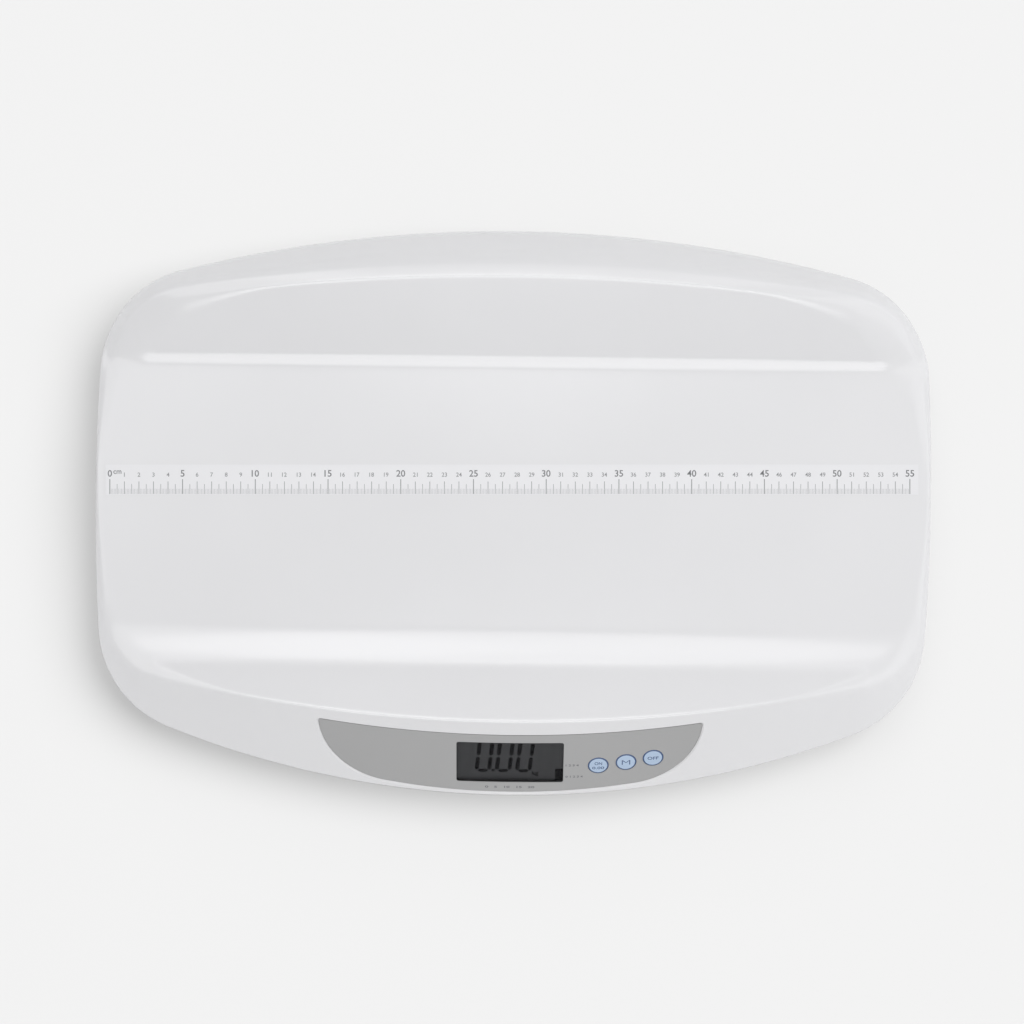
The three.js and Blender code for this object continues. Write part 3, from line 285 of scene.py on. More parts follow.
# %% [markdown]
# The crest is crisp along the rear and the front, and in the corners it dies away into a broad
# soft roll that holds no line of light. Two sets of profiles could be made and joined, but one
# chain of points can do both. Where a corner's share rises, the roll starts further in, and the
# crest sags under the trough's slope.

# %% Soft corners of the crest
roll_rear, roll_front = 28 * mm, 16 * mm
sag_rear, sag_front = 8 * mm, 2 * mm
corner_round = 7 * mm
rear_corner_reach = (0.68, 1.35, 1.45, 2.45)
front_corner_reach = (2.6, 3.3, 3.8, 4.25)


def smooth_share(low, high, value):
    return eased((value - low) / (high - low))


def swell(reach, place):
    """0, then 1 between the middle two places of a reach, then 0, counted in arcs from the rear."""
    begin, full, still, end = reach
    return smooth_share(begin, full, place) * (1 - smooth_share(still, end, place))


def rolled(start, crest, end, sag, steps):
    """Follows the trough and sinks under it, ever faster, down to the line to the shoulder."""
    span, past = (end - start).xy.length, (end - crest).xy.length
    drop = trough_height(end.y) - end.z
    power = max(span / past - 2 * sag / (drop - sag), 2)
    points = []
    for i in range(steps + 1):
        share = i / steps
        point = start.lerp(end, share)
        point.z = trough_height(point.y) - sag * share ** 2 - (drop - sag) * share ** power
        points.append(point)
    return points


print("the corners' crest sags by", round(sag_rear / mm, 1), "and", round(sag_front / mm, 1), "mm")

# %% [markdown]
# One profile is one cut through the rim, from the slope of the trough over the crest, shoulder and
# lip down to the hem. It could be drawn sharp and bevelled afterwards, but the bends differ all
# the way round. Here each bend is a short curve with a fixed number of points, so that every
# profile can be joined to its neighbour point by point.

# %% Profile of the rim at one station
roll_steps, bend_steps = 12, 6


def curved(start, corner, end, steps):
    turns = [i / steps for i in range(steps + 1)]
    return [start * (1 - t) ** 2 + corner * (2 * t * (1 - t)) + end * t ** 2 for t in turns]


def rounded(before, corner, after, reach_in, reach_out, steps=bend_steps):
    start = corner.lerp(before, min(reach_in / (corner - before).length, 1))
    end = corner.lerp(after, min(reach_out / (corner - after).length, reach_share))
    return curved(start, corner, end, steps)


def rim_profile(station):
    edge, _ = point_on(trough_arcs, station)
    foot, angle = point_on(hem_arcs, station)
    outward = (foot - edge).normalized()
    foot.z = hem_height
    crest = edge + outward * blended(angle, "crest")
    rear, front = swell(rear_corner_reach, sum(station)), swell(front_corner_reach, sum(station))
    sag = rear * sag_rear + front * sag_front
    crest.z = trough_height(crest.y) - sag
    roll = blended(angle, "crest_round") + rear * roll_rear + front * roll_front
    start = crest - outward * roll
    start.z = trough_height(start.y)
    inner = start - outward * support_inset
    inner.x = max(inner.x, 0)
    inner.z = trough_height(inner.y)
    lip = foot - outward * blended(angle, "lip_draft")
    lip.z = blended(angle, "lip_height")
    shoulder = crest.lerp(lip, shoulder_share)
    shoulder.z += blended(angle, "rise")
    fall = (shoulder - crest).length
    round_out = blended(angle, "crest_round") + (rear + front) * corner_round
    end = crest.lerp(shoulder, min(round_out / fall, reach_share))
    reach = blended(angle, "lip_reach")
    lip_in = min(reach, (lip - shoulder).length * reach_share)
    return [
        inner,
        *rolled(start, crest, end, sag, roll_steps),
        *rounded(crest, shoulder, lip, min(shoulder_reach, fall * reach_share), shoulder_reach),
        *rounded(shoulder, lip, foot, lip_in, reach),
        foot,
    ]


print("points in a profile:", len(rim_profile((0, 0.0))))

# %% [markdown]
# Even stations would be simplest, but the skin's rows must follow the bends of the trough, or the
# light in them breaks up. So some stations are found by halving, until their inner point lies
# exactly on a bend's row. Even stations fill the rest.

# %% Stations
arc_steps = [30, 22, 8, 22, 30]
bend_rows = {1: (rear_bend, 14), -1: (front_bend, 18)}
halvings = 40
least_apart = 0.02


def as_station(place):
    arc = min(int(place), len(arc_steps) - 1)
    return arc, place - arc


def place_on_row(y):
    low, high = 0.0, float(len(arc_steps))
    for _ in range(halvings):
        middle = (low + high) / 2
        if rim_profile(as_station(middle))[0].y > y:
            low = middle
        else:
            high = middle
    return (low + high) / 2


def places():
    exact = []
    for side, (bend, steps) in bend_rows.items():
        for i in range(steps + 1):
            run = bend["radius"] * math.sin(bend["angle"] * i / steps)
            exact.append(place_on_row(side * (bend["start"] + run)))
    even = [arc + i / steps for arc, steps in enumerate(arc_steps) for i in range(steps)]
    even.append(len(arc_steps))
    spare = [p for p in even if min(abs(p - other) for other in exact) > least_apart]
    return sorted(exact + spare)


stations = [as_station(place) for place in places()]
print("stations on the right half:", len(stations))

# %% [markdown]
# The shell could be carved from a block or sculpted, but a loft says what the moulding is: each
# station's profile is a chain of edges, and bridging each chain to the next makes the rim. The
# trough is one more bridge, from the inner chain to the middle line. The half is then mirrored.

# %% Loft the tray's outer skin
weld_distance = 0.002 * mm
sliver_distance = 0.001 * mm


def chain(bm, points):
    verts = [bm.verts.new(point) for point in points]
    return [bm.edges.new(pair) for pair in zip(verts, verts[1:])]


def bridge(bm, first, second):
    bmesh.ops.bridge_loops(bm, edges=first + second)


def mirrored(bm):
    bmesh.ops.remove_doubles(bm, verts=bm.verts, dist=weld_distance)
    everything = bm.verts[:] + bm.edges[:] + bm.faces[:]
    bmesh.ops.mirror(bm, geom=everything, axis="X", merge_dist=weld_distance)
    bmesh.ops.remove_doubles(bm, verts=bm.verts, dist=weld_distance)
    bmesh.ops.dissolve_degenerate(bm, edges=bm.edges, dist=sliver_distance)
    bmesh.ops.recalc_face_normals(bm, faces=bm.faces)


def face_up(bm):
    if sum(face.normal.z * face.calc_area() for face in bm.faces) < 0:
        bmesh.ops.reverse_faces(bm, faces=bm.faces)


def tray_skin():
    bm = bmesh.new()
    profiles = [rim_profile(station) for station in stations]
    chains = [chain(bm, points) for points in profiles]
    for first, second in zip(chains, chains[1:]):
        bridge(bm, first, second)
    edge = chain(bm, [points[0] for points in profiles])
    middle = chain(bm, [Vector((0, points[0].y, points[0].z)) for points in profiles])
    bridge(bm, edge, middle)
    mirrored(bm)
    face_up(bm)
    return bm


skin = tray_skin()
skin_tree = BVHTree.FromBMesh(skin)
skin_top = max(vert.co.z for vert in skin.verts)
print("tray skin:", len(skin.faces), "faces, up to", round(skin_top / mm, 1), "mm")

# %% [markdown]
# The panel, the window and the keys lie on a leaning apron that is bowed as well. Modelled in
# place, each would need that lean and bow worked out. Instead they are drawn flat on a board that
# leans like the apron, and draping drops each flat point on the skin. The frame gives the lean,
# which is the keys' press direction, and the origin, over the window's middle.

# %% The apron's board and draping
press = Vector(next(j for j in frame["joints"] if j["name"] == "on_key_press")["axis"]).normalized()
apron_angle = math.atan2(press.y, -press.z)
window_low, window_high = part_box("display_window")
ray_start = 100 * mm
above_window = (window_low + window_high) / 2 - press * ray_start
board_origin = skin_tree.ray_cast(above_window, press)[0]
board = Matrix.Translation(board_origin) @ Matrix.Rotation(apron_angle, 4, "X")
board_inverse = board.inverted()
out_of_board = board.to_3x3() @ Vector((0, 0, 1))


def apron_depth(x, up):
    point = skin_tree.ray_cast(board @ Vector((x, up, ray_start)), -out_of_board)[0]
    return (board_inverse @ point).z if point else 0.0


def drape(bm):
    for vert in bm.verts:
        vert.co.z += apron_depth(vert.co.x, vert.co.y)
    bmesh.ops.transform(bm, matrix=board, verts=bm.verts)


print("apron leans", round(math.degrees(apron_angle), 2), "degrees")

# %% [markdown]
# The silver panel is a shallow crescent: a top edge that follows the crest, a bottom edge that
# follows the lip and two round ends with nipped tips. Like the plan it could be traced as a
# spline, and like the plan it is fairer as arcs. The panel and its recess both come from this one
# outline with a margin.

# %% Outline of the panel
panel_sizes = {
    "top": 24.8 * mm, "bottom": 26.7 * mm, "top_bow": 1478 * mm, "bottom_bow": 570 * mm,
    "corner": 52.6 * mm, "turn": math.radians(8.7), "tip": 2.2 * mm,
}
panel_steps = {"bottom": 20, "side": 26, "tip": 6, "top": 30}


def arc_points(x, y, radius, start, end, steps):
    angles = [start + (end - start) * i / steps for i in range(steps + 1)]
    return [Vector((x + radius * math.cos(a), y + radius * math.sin(a), 0)) for a in angles]


def panel_half(margin):
    """Right half of the outline, from the bottom middle to the top middle."""
    sizes, steps = panel_sizes, panel_steps
    reach = sizes["bottom_bow"] - sizes["corner"]
    bottom_y = sizes["bottom_bow"] - sizes["bottom"]
    corner_x = reach * math.sin(sizes["turn"])
    corner_y = bottom_y - reach * math.cos(sizes["turn"])
    corner, bottom_bow = sizes["corner"] + margin, sizes["bottom_bow"] + margin
    top_bow, top_y = sizes["top_bow"] - margin, sizes["top"] + sizes["top_bow"]
    top_x = corner_x + corner
    tip_y = top_y - math.sqrt(top_bow ** 2 - top_x ** 2)
    tip = sizes["tip"] + margin
    side_turn = math.asin((tip_y - tip - corner_y) / corner)
    top_turn = math.asin((top_x - tip) / top_bow)
    down = -math.pi / 2
    low_turn = down + sizes["turn"]
    side = arc_points(corner_x, corner_y, corner, low_turn, side_turn, steps["side"])
    top = arc_points(0, top_y, top_bow, down + top_turn, down, steps["top"])
    low = arc_points(0, bottom_y, bottom_bow, down, low_turn, steps["bottom"])
    nip = curved(side[-1], Vector((top_x, tip_y, 0)), top[0], steps["tip"])
    return low + side[1:] + nip[1:-1] + top


def closed_edges(bm, verts):
    return [bm.edges.new((verts[i - 1], verts[i])) for i in range(len(verts))]


def outline_loop(bm, margin, height):
    half = panel_half(margin)
    left = [Vector((-point.x, point.y, 0)) for point in reversed(half[1:-1])]
    verts = [bm.verts.new((point.x, point.y, height)) for point in half + left]
    return closed_edges(bm, verts)


print("panel half outline:", len(panel_half(0)), "points")

# %% [markdown]
# The panel lies in a recess of the tray. It could be pressed into the skin's own rows, but they
# don't run along its outline. So a solid is cut out: drawn flat on the board, cut in columns and
# rows so that it can bend, and draped, so that its floor stays at one depth under the bowed
# apron. Its wall opens at 45 degrees near the surface, which gives the bright bevel round the
# real panel.

# %% Solid of the recess
panel_sink = 0.95 * mm
panel_thickness = 0.5 * mm
panel_gap = 0.25 * mm
running_gap = 0.3 * mm
chamfer = 1.05 * mm
cutter_rise = 0.6 * mm
bend_pitch = 5 * mm


def cut_grid(bm):
    """Bisects everything in the board's plane so that it can bend."""
    for axis, normal in ((0, Vector((1, 0, 0))), (1, Vector((0, 1, 0)))):
        reach = max(abs(vert.co[axis]) for vert in bm.verts)
        for i in range(int(-reach // bend_pitch), int(reach // bend_pitch) + 1):
            bmesh.ops.bisect_plane(
                bm, geom=bm.verts[:] + bm.edges[:] + bm.faces[:], dist=sliver_distance,
                plane_co=normal * bend_pitch * i, plane_no=normal,
            )


def recess_solid():
    bm = bmesh.new()
    levels = [
        (panel_gap, -panel_sink - panel_thickness - running_gap), (panel_gap, -chamfer),
        (panel_gap + chamfer + cutter_rise, cutter_rise),
    ]
    loops = [outline_loop(bm, *level) for level in levels]
    for first, second in zip(loops, loops[1:]):
        bridge(bm, first, second)
    for loop in (loops[0], loops[-1]):
        bmesh.ops.contextual_create(bm, geom=loop)
    bmesh.ops.recalc_face_normals(bm, faces=bm.faces)
    cut_grid(bm)
    drape(bm)
    return bm


print("the panel lies", round(panel_sink / mm, 2), "mm under the apron")

# %% [markdown]
# The window and the keys need straight holes through the wall. Holes could be left open in the
# loft, but straight cutters are simpler and match the keys' straight travel. They are plain
# prisms on the board, not draped, since nobody sees their ends.

# %% Holes for the window and the keys
window_half = Vector((36.7, 18)) * mm
window_ledge = 1.3 * mm
window_corner = 1.6 * mm
key_radius = 7.1 * mm
key_places = {
    "on": (60.6 * mm, -3.1 * mm), "recall": (79.6 * mm, -0.9 * mm), "off": (98.1 * mm, 1.9 * mm),
}
hole_reach = 20 * mm


def rounded_rectangle(bm, half_x, half_y, radius, height, steps=8):
    verts = []
    for i, (x, y) in enumerate([(1, 1), (-1, 1), (-1, -1), (1, -1)]):
        centre = (x * (half_x - radius), y * (half_y - radius))
        start = i * math.pi / 2
        corner = arc_points(*centre, radius, start, start + math.pi / 2, steps)
        verts += [bm.verts.new((point.x, point.y, height)) for point in corner]
    return closed_edges(bm, verts)


def ring_loop(bm, x, y, radius, height, segments=64):
    turned = Matrix.Translation((x, y, height))
    made = bmesh.ops.create_circle(
        bm, cap_ends=False, segments=segments, radius=radius, matrix=turned
    )
    return list(dict.fromkeys(edge for vert in made["verts"] for edge in vert.link_edges))


def prism(bm, shape):
    """Bridges a shape's loop below the board to the same loop above it, and caps both."""
    low, high = shape(-hole_reach), shape(hole_reach)
    bridge(bm, low, high)
    bmesh.ops.contextual_create(bm, geom=low)
    bmesh.ops.contextual_create(bm, geom=high)


def hole_solids(window_margin, key_margin):
    bm = bmesh.new()
    size = window_half + Vector((window_margin, window_margin))
    prism(bm, lambda z: rounded_rectangle(bm, size.x, size.y, window_corner, z))
    for place in key_places.values():
        prism(bm, lambda z: ring_loop(bm, *place, key_radius + key_margin, z))
    bmesh.ops.recalc_face_normals(bm, faces=bm.faces)
    bmesh.ops.transform(bm, matrix=board, verts=bm.verts)
    return bm


print("holes:", 1 + len(key_places))

# %% [markdown]
# A moulding has one wall all over. The inner side could be lofted too, but solidify grows it
# inwards from the smooth skin at an even 3 mm, as a mould does. The cuts come last, so that they
# go through the whole wall, and the boolean's result is kept as the piece's own mesh.

# %% The tray
cut_edge_angle = math.radians(35)


def tray_walled():
    bm = skin.copy()
    bmesh.ops.solidify(bm, geom=bm.faces[:], thickness=wall)
    return bm


def cut_with(piece, cutters):
    """Cuts a piece with closed bmeshes and keeps the result in its mesh."""
    for bm in cutters:
        mesh = bpy.data.meshes.new("cutter")
        bm.to_mesh(mesh)
        bm.free()
        cutter = bpy.data.objects.new("cutter", mesh)
        bpy.context.scene.collection.objects.link(cutter)
        cut = piece.modifiers.new("cut", "BOOLEAN")
        cut.operation = "DIFFERENCE"
        cut.solver = "EXACT"
        cut.object = cutter
        bpy.context.view_layer.update()
        made = piece.evaluated_get(bpy.context.evaluated_depsgraph_get())
        result = bpy.data.meshes.new_from_object(made)
        piece.modifiers.clear()
        piece.data = result
        bpy.data.objects.remove(cutter)


tray = add_piece(
    "tray_moulding", tray_walled(), "housing", [tray_white], ["tray_shell"]
)
cut_with(tray, [recess_solid(), hole_solids(window_ledge + running_gap, running_gap)])
tray.data.set_sharp_from_angle(angle=cut_edge_angle)
tray_ends = (tray.bound_box[0], tray.bound_box[6])
print("tray box, mm:", [[round(c / mm, 1) for c in corner] for corner in tray_ends])

# %% [markdown]
# The overlay is a printed film with a cut window and three key holes. A boolean would cut those
# too, but triangle fill makes a face with holes straight from its edge loops. The grid cuts let
# it bend, and extruding it down gives it its thickness.

# %% The silver overlay
film_hole_gap = 0.12 * mm


def thicken(bm, thickness):
    """Turns flat faces upwards and extrudes them by a thickness, up or down."""
    face_up(bm)
    made = bmesh.ops.extrude_face_region(bm, geom=bm.faces[:])
    far = [item for item in made["geom"] if isinstance(item, bmesh.types.BMVert)]
    bmesh.ops.translate(bm, verts=far, vec=(0, 0, thickness))
    bmesh.ops.recalc_face_normals(bm, faces=bm.faces)


def overlay():
    bm = bmesh.new()
    loops = outline_loop(bm, 0, 0)
    loops += rounded_rectangle(bm, window_half.x, window_half.y, window_corner, 0)
    for place in key_places.values():
        loops += ring_loop(bm, *place, key_radius + film_hole_gap, 0)
    bmesh.ops.triangle_fill(bm, edges=loops, use_beauty=True, use_dissolve=False)
    cut_grid(bm)
    thicken(bm, -panel_thickness)
    bmesh.ops.translate(bm, verts=bm.verts, vec=(0, 0, -panel_sink))
    bmesh.ops.recalc_face_normals(bm, faces=bm.faces)
    drape(bm)
    return bm


add_piece(
    "panel_overlay", overlay(), "housing", [panel_silver], ["control_panel"]
)

# %% [markdown]
# Each key is a turned cap: a shallow dome with a soft edge, a flange that holds it behind the
# wall and a stem over the switch. A squashed sphere on a cylinder would lack the flange and the
# soft edge, and a profile spun round gives all of it. The blue rim is paint on the outer ring of
# the dome, so it is a second material on those faces, not another piece. The stem stands over a
# flat switch, so its end isn't draped but stays at the depth of the solid's.

# %% Key caps
key_proud, key_crown, key_round, key_side = 0.1 * mm, 0.35 * mm, 0.5 * mm, 1 * mm
flange_thickness, flange_reach = 1.1 * mm, 1.5 * mm
flange_top = -wall - running_gap
flange_low = flange_top - flange_thickness
flange_radius = key_radius + flange_reach
stem_radius = 3.2 * mm
stem_end_band = 0.1 * mm
ring_inner = key_radius - 0.95 * mm
ring_depth = 0.6 * mm
key_steps = 96
crown_rings, crown_divisions = 12, 14
key_weld = 0.003 * mm


def dome(radius):
    return -panel_sink + key_proud + key_crown * (1 - (radius / key_radius) ** 2)


def key_profile(stem_low):
    radii = [key_radius * i / crown_divisions for i in range(crown_rings)] + [ring_inner]
    top = [Vector((radius, 0, dome(radius))) for radius in radii]
    edge = Vector((key_radius, 0, dome(key_radius)))
    side = Vector((key_radius, 0, edge.z - key_side))
    top += rounded(top[-1], edge, side, key_round, key_round)
    lower = [
        (key_radius, flange_top), (flange_radius, flange_top), (flange_radius, flange_low),
        (stem_radius, flange_low), (stem_radius, stem_low), (0, stem_low),
    ]
    return top + [Vector((x, 0, z)) for x, z in lower]


def key_cap(name):
    solid = bpy.data.objects[f"button_{name}"].data
    stem_low = min((board_inverse @ vert.co).z for vert in solid.vertices)
    bm = bmesh.new()
    line = chain(bm, key_profile(stem_low))
    bmesh.ops.spin(
        bm, geom=line + bm.verts[:], cent=(0, 0, 0), axis=(0, 0, 1), angle=math.tau,
        steps=key_steps, use_merge=True,
    )
    bmesh.ops.remove_doubles(bm, verts=bm.verts, dist=key_weld)
    bmesh.ops.recalc_face_normals(bm, faces=bm.faces)
    for face in bm.faces:
        middle = face.calc_center_median()
        on_top = middle.z > dome(key_radius) - ring_depth
        face.material_index = int(on_top and math.hypot(middle.x, middle.y) > ring_inner)
    bmesh.ops.translate(bm, verts=bm.verts, vec=(*key_places[name], 0))
    for vert in bm.verts:
        if vert.co.z < stem_low + stem_end_band:
            vert.co.z -= apron_depth(vert.co.x, vert.co.y)
    drape(bm)
    return bm


for name in key_places:
    add_piece(
        f"key_{name}", key_cap(name), f"{name}_key", [key_blue, print_blue],
        [f"button_{name}"],
    )

# %% [markdown]
# The marks on the panel, the keys and the rule are ink. Ink could be painted by a material, but
# real film shows at a low angle, and letters as geometry stay sharp at any distance. A text object
# is turned into a mesh at once, brought to the wanted size, and raised to a thin film. All of it
# is plain: figures, ON and OFF, a letter and two units.

# %% Lettering
film = 0.03 * mm
letter_steps = 4
letter_weld = 0.0001
plain_weight = 0.012


def lettering(text, height, x=0, y=0, width=None, weight=plain_weight):
    """Text of a height, its middle at x and y; weight thickens the strokes."""
    curve = bpy.data.curves.new("lettering", "FONT")
    curve.body = text
    curve.align_x = "CENTER"
    curve.offset = weight
    curve.resolution_u = letter_steps
    holder = bpy.data.objects.new("lettering", curve)
    mesh = bpy.data.meshes.new_from_object(holder)
    bpy.data.objects.remove(holder)
    bm = bmesh.new()
    bm.from_mesh(mesh)
    bmesh.ops.remove_doubles(bm, verts=bm.verts, dist=letter_weld)
    low = Vector((min(v.co.x for v in bm.verts), min(v.co.y for v in bm.verts), 0))
    high = Vector((max(v.co.x for v in bm.verts), max(v.co.y for v in bm.verts), 0))
    size = high - low
    tall = height / size.y
    wide = width / size.x if width else tall
    bmesh.ops.translate(bm, verts=bm.verts, vec=-(low + high) / 2)
    bmesh.ops.scale(bm, verts=bm.verts, vec=(wide, tall, 1))
    thicken(bm, film)
    bmesh.ops.translate(bm, verts=bm.verts, vec=(x, y, 0))
    return bm


def merged(parts):
    whole = bmesh.new()
    for bm in parts:
        mesh = bpy.data.meshes.new("part")
        bm.to_mesh(mesh)
        bm.free()
        whole.from_mesh(mesh)
        bpy.data.meshes.remove(mesh)
    return whole


print("ink film, mm:", round(film / mm, 2))

# %% [markdown]
# The keys' words are printed on their domes. They could be wrapped on with a modifier, but the
# dome's height is a known function of the radius, so each point of the flat words is lifted by
# it, and then draped with the key. Each word has its height, width, place up and weight.

# %% Print on the keys
key_words = {
    "on": [("ON", 2.5, 5.2, 2.0, plain_weight), ("0.00", 2.3, 8.2, -2.0, plain_weight)],
    "recall": [("M", 4.0, 5.8, 0, -plain_weight)],
    "off": [("OFF", 2.7, 7.6, 0, plain_weight)],
}
for name, words in key_words.items():
    bm = merged([
        lettering(word, high * mm, 0, up * mm, wide * mm, weight)
        for word, high, wide, up, weight in words
    ])
    for vert in bm.verts:
        vert.co.z += dome(math.hypot(vert.co.x, vert.co.y))
    bmesh.ops.translate(bm, verts=bm.verts, vec=(*key_places[name], 0))
    drape(bm)
    add_piece(f"key_print_{name}", bm, f"{name}_key", [print_blue])

# %% [markdown]
# The display builds each figure from seven leaning bars. A font could stand in for them, but its
# strokes lack the pointed ends and the gaps, so each bar is one six-sided face. Between the three
# lit figures and the window's edges are two unlit places that can just be seen. The window's edge
# hides the tops of the figures in the photograph, so a lit nought has no top bar here. A point,
# the unit and a pointer block at the edge complete the display.

# %% Bars of the display
glass_mesh = bpy.data.objects["lcd_glass"].data
glass_top = max((board_inverse @ vert.co).z for vert in glass_mesh.vertices)
digit_height, digit_width, bar_width = 29 * mm, 11.4 * mm, 2.8 * mm
digit_slant = math.tan(math.radians(5))
bar_gap = 0.5 * mm
bars_of = {"0": "bcdef", "8": "abcdefg"}


def bar(bm, x, y, length, upright):
    half, cut = length / 2 - bar_gap, bar_width / 2
    corners = [
        (-half, 0), (-half + cut, -cut), (half - cut, -cut),
        (half, 0), (half - cut, cut), (-half + cut, cut),
    ]
    if upright:
        corners = [(-cy, cx) for cx, cy in corners]
    bm.faces.new([bm.verts.new((x + cx, y + cy, 0)) for cx, cy in corners])


def digit(figure, x, y):
    bm = bmesh.new()
    tall, wide = (digit_height - bar_width) / 2, digit_width - bar_width
    places = {
        "a": (0, tall, wide, False), "d": (0, -tall, wide, False), "g": (0, 0, wide, False),
        "b": (wide / 2, tall / 2, tall, True), "c": (wide / 2, -tall / 2, tall, True),
        "f": (-wide / 2, tall / 2, tall, True), "e": (-wide / 2, -tall / 2, tall, True),
    }
    for letter in bars_of[figure]:
        bar(bm, *places[letter])
    for vert in bm.verts:
        vert.co.x += vert.co.y * digit_slant
    thicken(bm, film)
    bmesh.ops.translate(bm, verts=bm.verts, vec=(x, y, glass_top))
    return bm


def block(x, y, width, height, z):
    bm = bmesh.new()
    stretched = Matrix.Diagonal((width, height, 1, 1))
    bmesh.ops.create_grid(bm, x_segments=1, y_segments=1, size=0.5, matrix=stretched)
    thicken(bm, film)
    bmesh.ops.translate(bm, verts=bm.verts, vec=(x, y, z))
    return bm


print("display glass at", round(glass_top / mm, 2), "mm from the board")

# %% [markdown]
# The bars, the point, the pointer and the unit could each be a piece, but they are one layer of
# the display, so they are merged into one. The two unlit places are another, because they have
# another grey. They lie on the flat glass and are turned with the board, not draped.

# %% Figures of the display
digit_up = 3 * mm
lit_places, unlit_places = (-17.5, -3.6, 10.3), (-31, 24.5)
point = block(-11.4 * mm, -9.9 * mm, 2.3 * mm, 2.3 * mm, glass_top)
pointer = block(33.8 * mm, -13 * mm, 5.4 * mm, 10.4 * mm, glass_top)
unit = lettering("kg", 4.8 * mm, 17.4 * mm, -12.6 * mm, weight=0.03)
bmesh.ops.translate(unit, verts=unit.verts, vec=(0, 0, glass_top))


def on_glass(name, parts, finish):
    bm = merged(parts)
    bmesh.ops.transform(bm, matrix=board, verts=bm.verts)
    add_piece(name, bm, "housing", [finish])


lit_figures = [digit("0", x * mm, digit_up) for x in lit_places]
on_glass("display_figures", [*lit_figures, point, pointer, unit], segment_black)
unlit_figures = [digit("8", x * mm, digit_up) for x in unlit_places]
on_glass("display_unlit_figure", unlit_figures, segment_ghost)

# %% [markdown]
# Beside the window the film carries a small row of plain figures at each place of the pointer,
# and one more row under the window. Each figure could be set for itself, but one text for a row,
# brought to the row's width, keeps their spacing even. They are draped like the film they lie on.

# %% Small print on the overlay
print_height, print_weight = 1.9 * mm, 0.025
legend_left = 38.2 * mm
legends = [("1 2 3 4", 9 * mm, -2.6 * mm), ("0 1 2 3 4", 12 * mm, -13 * mm)]
range_text, range_width, range_up = "0   5   10   15   20", 34 * mm, -22.4 * mm


def panel_print():
    rows = [(text, legend_left + width / 2, up, width) for text, width, up in legends]
    rows.append((range_text, 0, range_up, range_width))
    bm = merged([lettering(text, print_height, *place, print_weight) for text, *place in rows])
    bmesh.ops.translate(bm, verts=bm.verts, vec=(0, 0, -panel_sink))
    drape(bm)
    return bm


add_piece("panel_print", panel_print(), "housing", [print_grey])

# %% [markdown]
# The rule is a printed strip, stuck on a little askew by hand. Its ticks stand on the lower edge:
# long at five centimetres, shorter at one and at a half, short at each millimetre. A stripe
# material could draw them all, but blocks of ink keep each tick's own length and width exact, and
# the strip itself is the CAD's.

# %% Ticks of the rule
strip_low, strip_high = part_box("measuring_strip")
strip_length, strip_width = 558.8 * mm, 20.8 * mm
strip_turn = math.radians(0.7)
strip_middle = ((strip_low.x + strip_high.x) / 2, (strip_low.y + strip_high.y) / 2, strip_high.z)
strip_frame = Matrix.Translation(strip_middle) @ Matrix.Rotation(strip_turn, 4, "Z")
rule_start = 2.95 * mm - strip_length / 2
tick_base = 0.55 * mm - strip_width / 2
rule_count = 550
tick_sizes = [(50, 10.2, 0.6), (10, 8.6, 0.42), (5, 6.8, 0.32), (1, 3.6, 0.16)]


def tick(millimetre):
    length, width = next(sizes for every, *sizes in tick_sizes if millimetre % every == 0)
    length, width = length * mm, width * mm
    return block(rule_start + millimetre * mm, tick_base + length / 2, width, length, 0)


def on_strip(name, parts, ink):
    bm = merged(parts)
    bmesh.ops.transform(bm, matrix=strip_frame, verts=bm.verts)
    add_piece(name, bm, "housing", [ink])


on_strip("rule_ticks", [tick(millimetre) for millimetre in range(rule_count + 1)], print_pale)

# %% [markdown]
# A figure sits over each centimetre, large and dark at each five, small and pale between them, and
# the unit follows the nought. One long text would be quicker, but its spaces wouldn't keep to the
# centimetres, so each figure is set for itself. They stand on one line, with a figure's middle
# half its height over it. Large and small figures are two pieces, because their inks differ.

# %% Figures of the rule
figure_base = 12.4 * mm - strip_width / 2
large_figure, small_figure, unit_letters = 4.6 * mm, 2.9 * mm, 2.4 * mm
unit_right, unit_up = 5.2 * mm, 3.2 * mm


def rule_figures(height, wanted):
    return [
        lettering(
            str(centimetre), height, rule_start + centimetre * 10 * mm, figure_base + height / 2
        )
        for centimetre in range(rule_count // 10 + 1) if (centimetre % 5 == 0) == wanted
    ]


unit_mark = lettering("cm", unit_letters, rule_start + unit_right, figure_base + unit_up)
on_strip("rule_figures_large", [*rule_figures(large_figure, True), unit_mark], print_grey)
on_strip("rule_figures_small", rule_figures(small_figure, False), print_pale)

# %% [markdown]
# The window is a clear lens. Glass with refraction would be the truest, but the photograph shows
# the dark display through it with hardly any glare, so it is nearly all transparent with a thin
# gloss on top, and a fine haze changes the gloss a little.

# %% Clear window
dust_scale, dust_detail = 400, 2
haze_low, haze_high = 0.05, 0.09
window_clear = bpy.data.materials.new("window_clear")
window_clear.use_nodes = True
lens = window_clear.node_tree.nodes["Principled BSDF"]
lens.inputs["Base Color"].default_value = (0.03, 0.03, 0.032, 1)
lens.inputs["Alpha"].default_value = 0.1
dust = add_noise(window_clear, dust_scale, dust_detail)
swing(window_clear, dust, haze_low, haze_high, lens.inputs["Roughness"])
print("window alpha", round(lens.inputs["Alpha"].default_value, 2))

# %% [markdown]
# The rest of the CAD model stays as it is: the cover with its battery well and door, the feet, the
# screws, the load cells, the board and the wires. Each node could be dressed by its name, but the
# record already gives every node a slot, so one finish for each slot dresses them all.

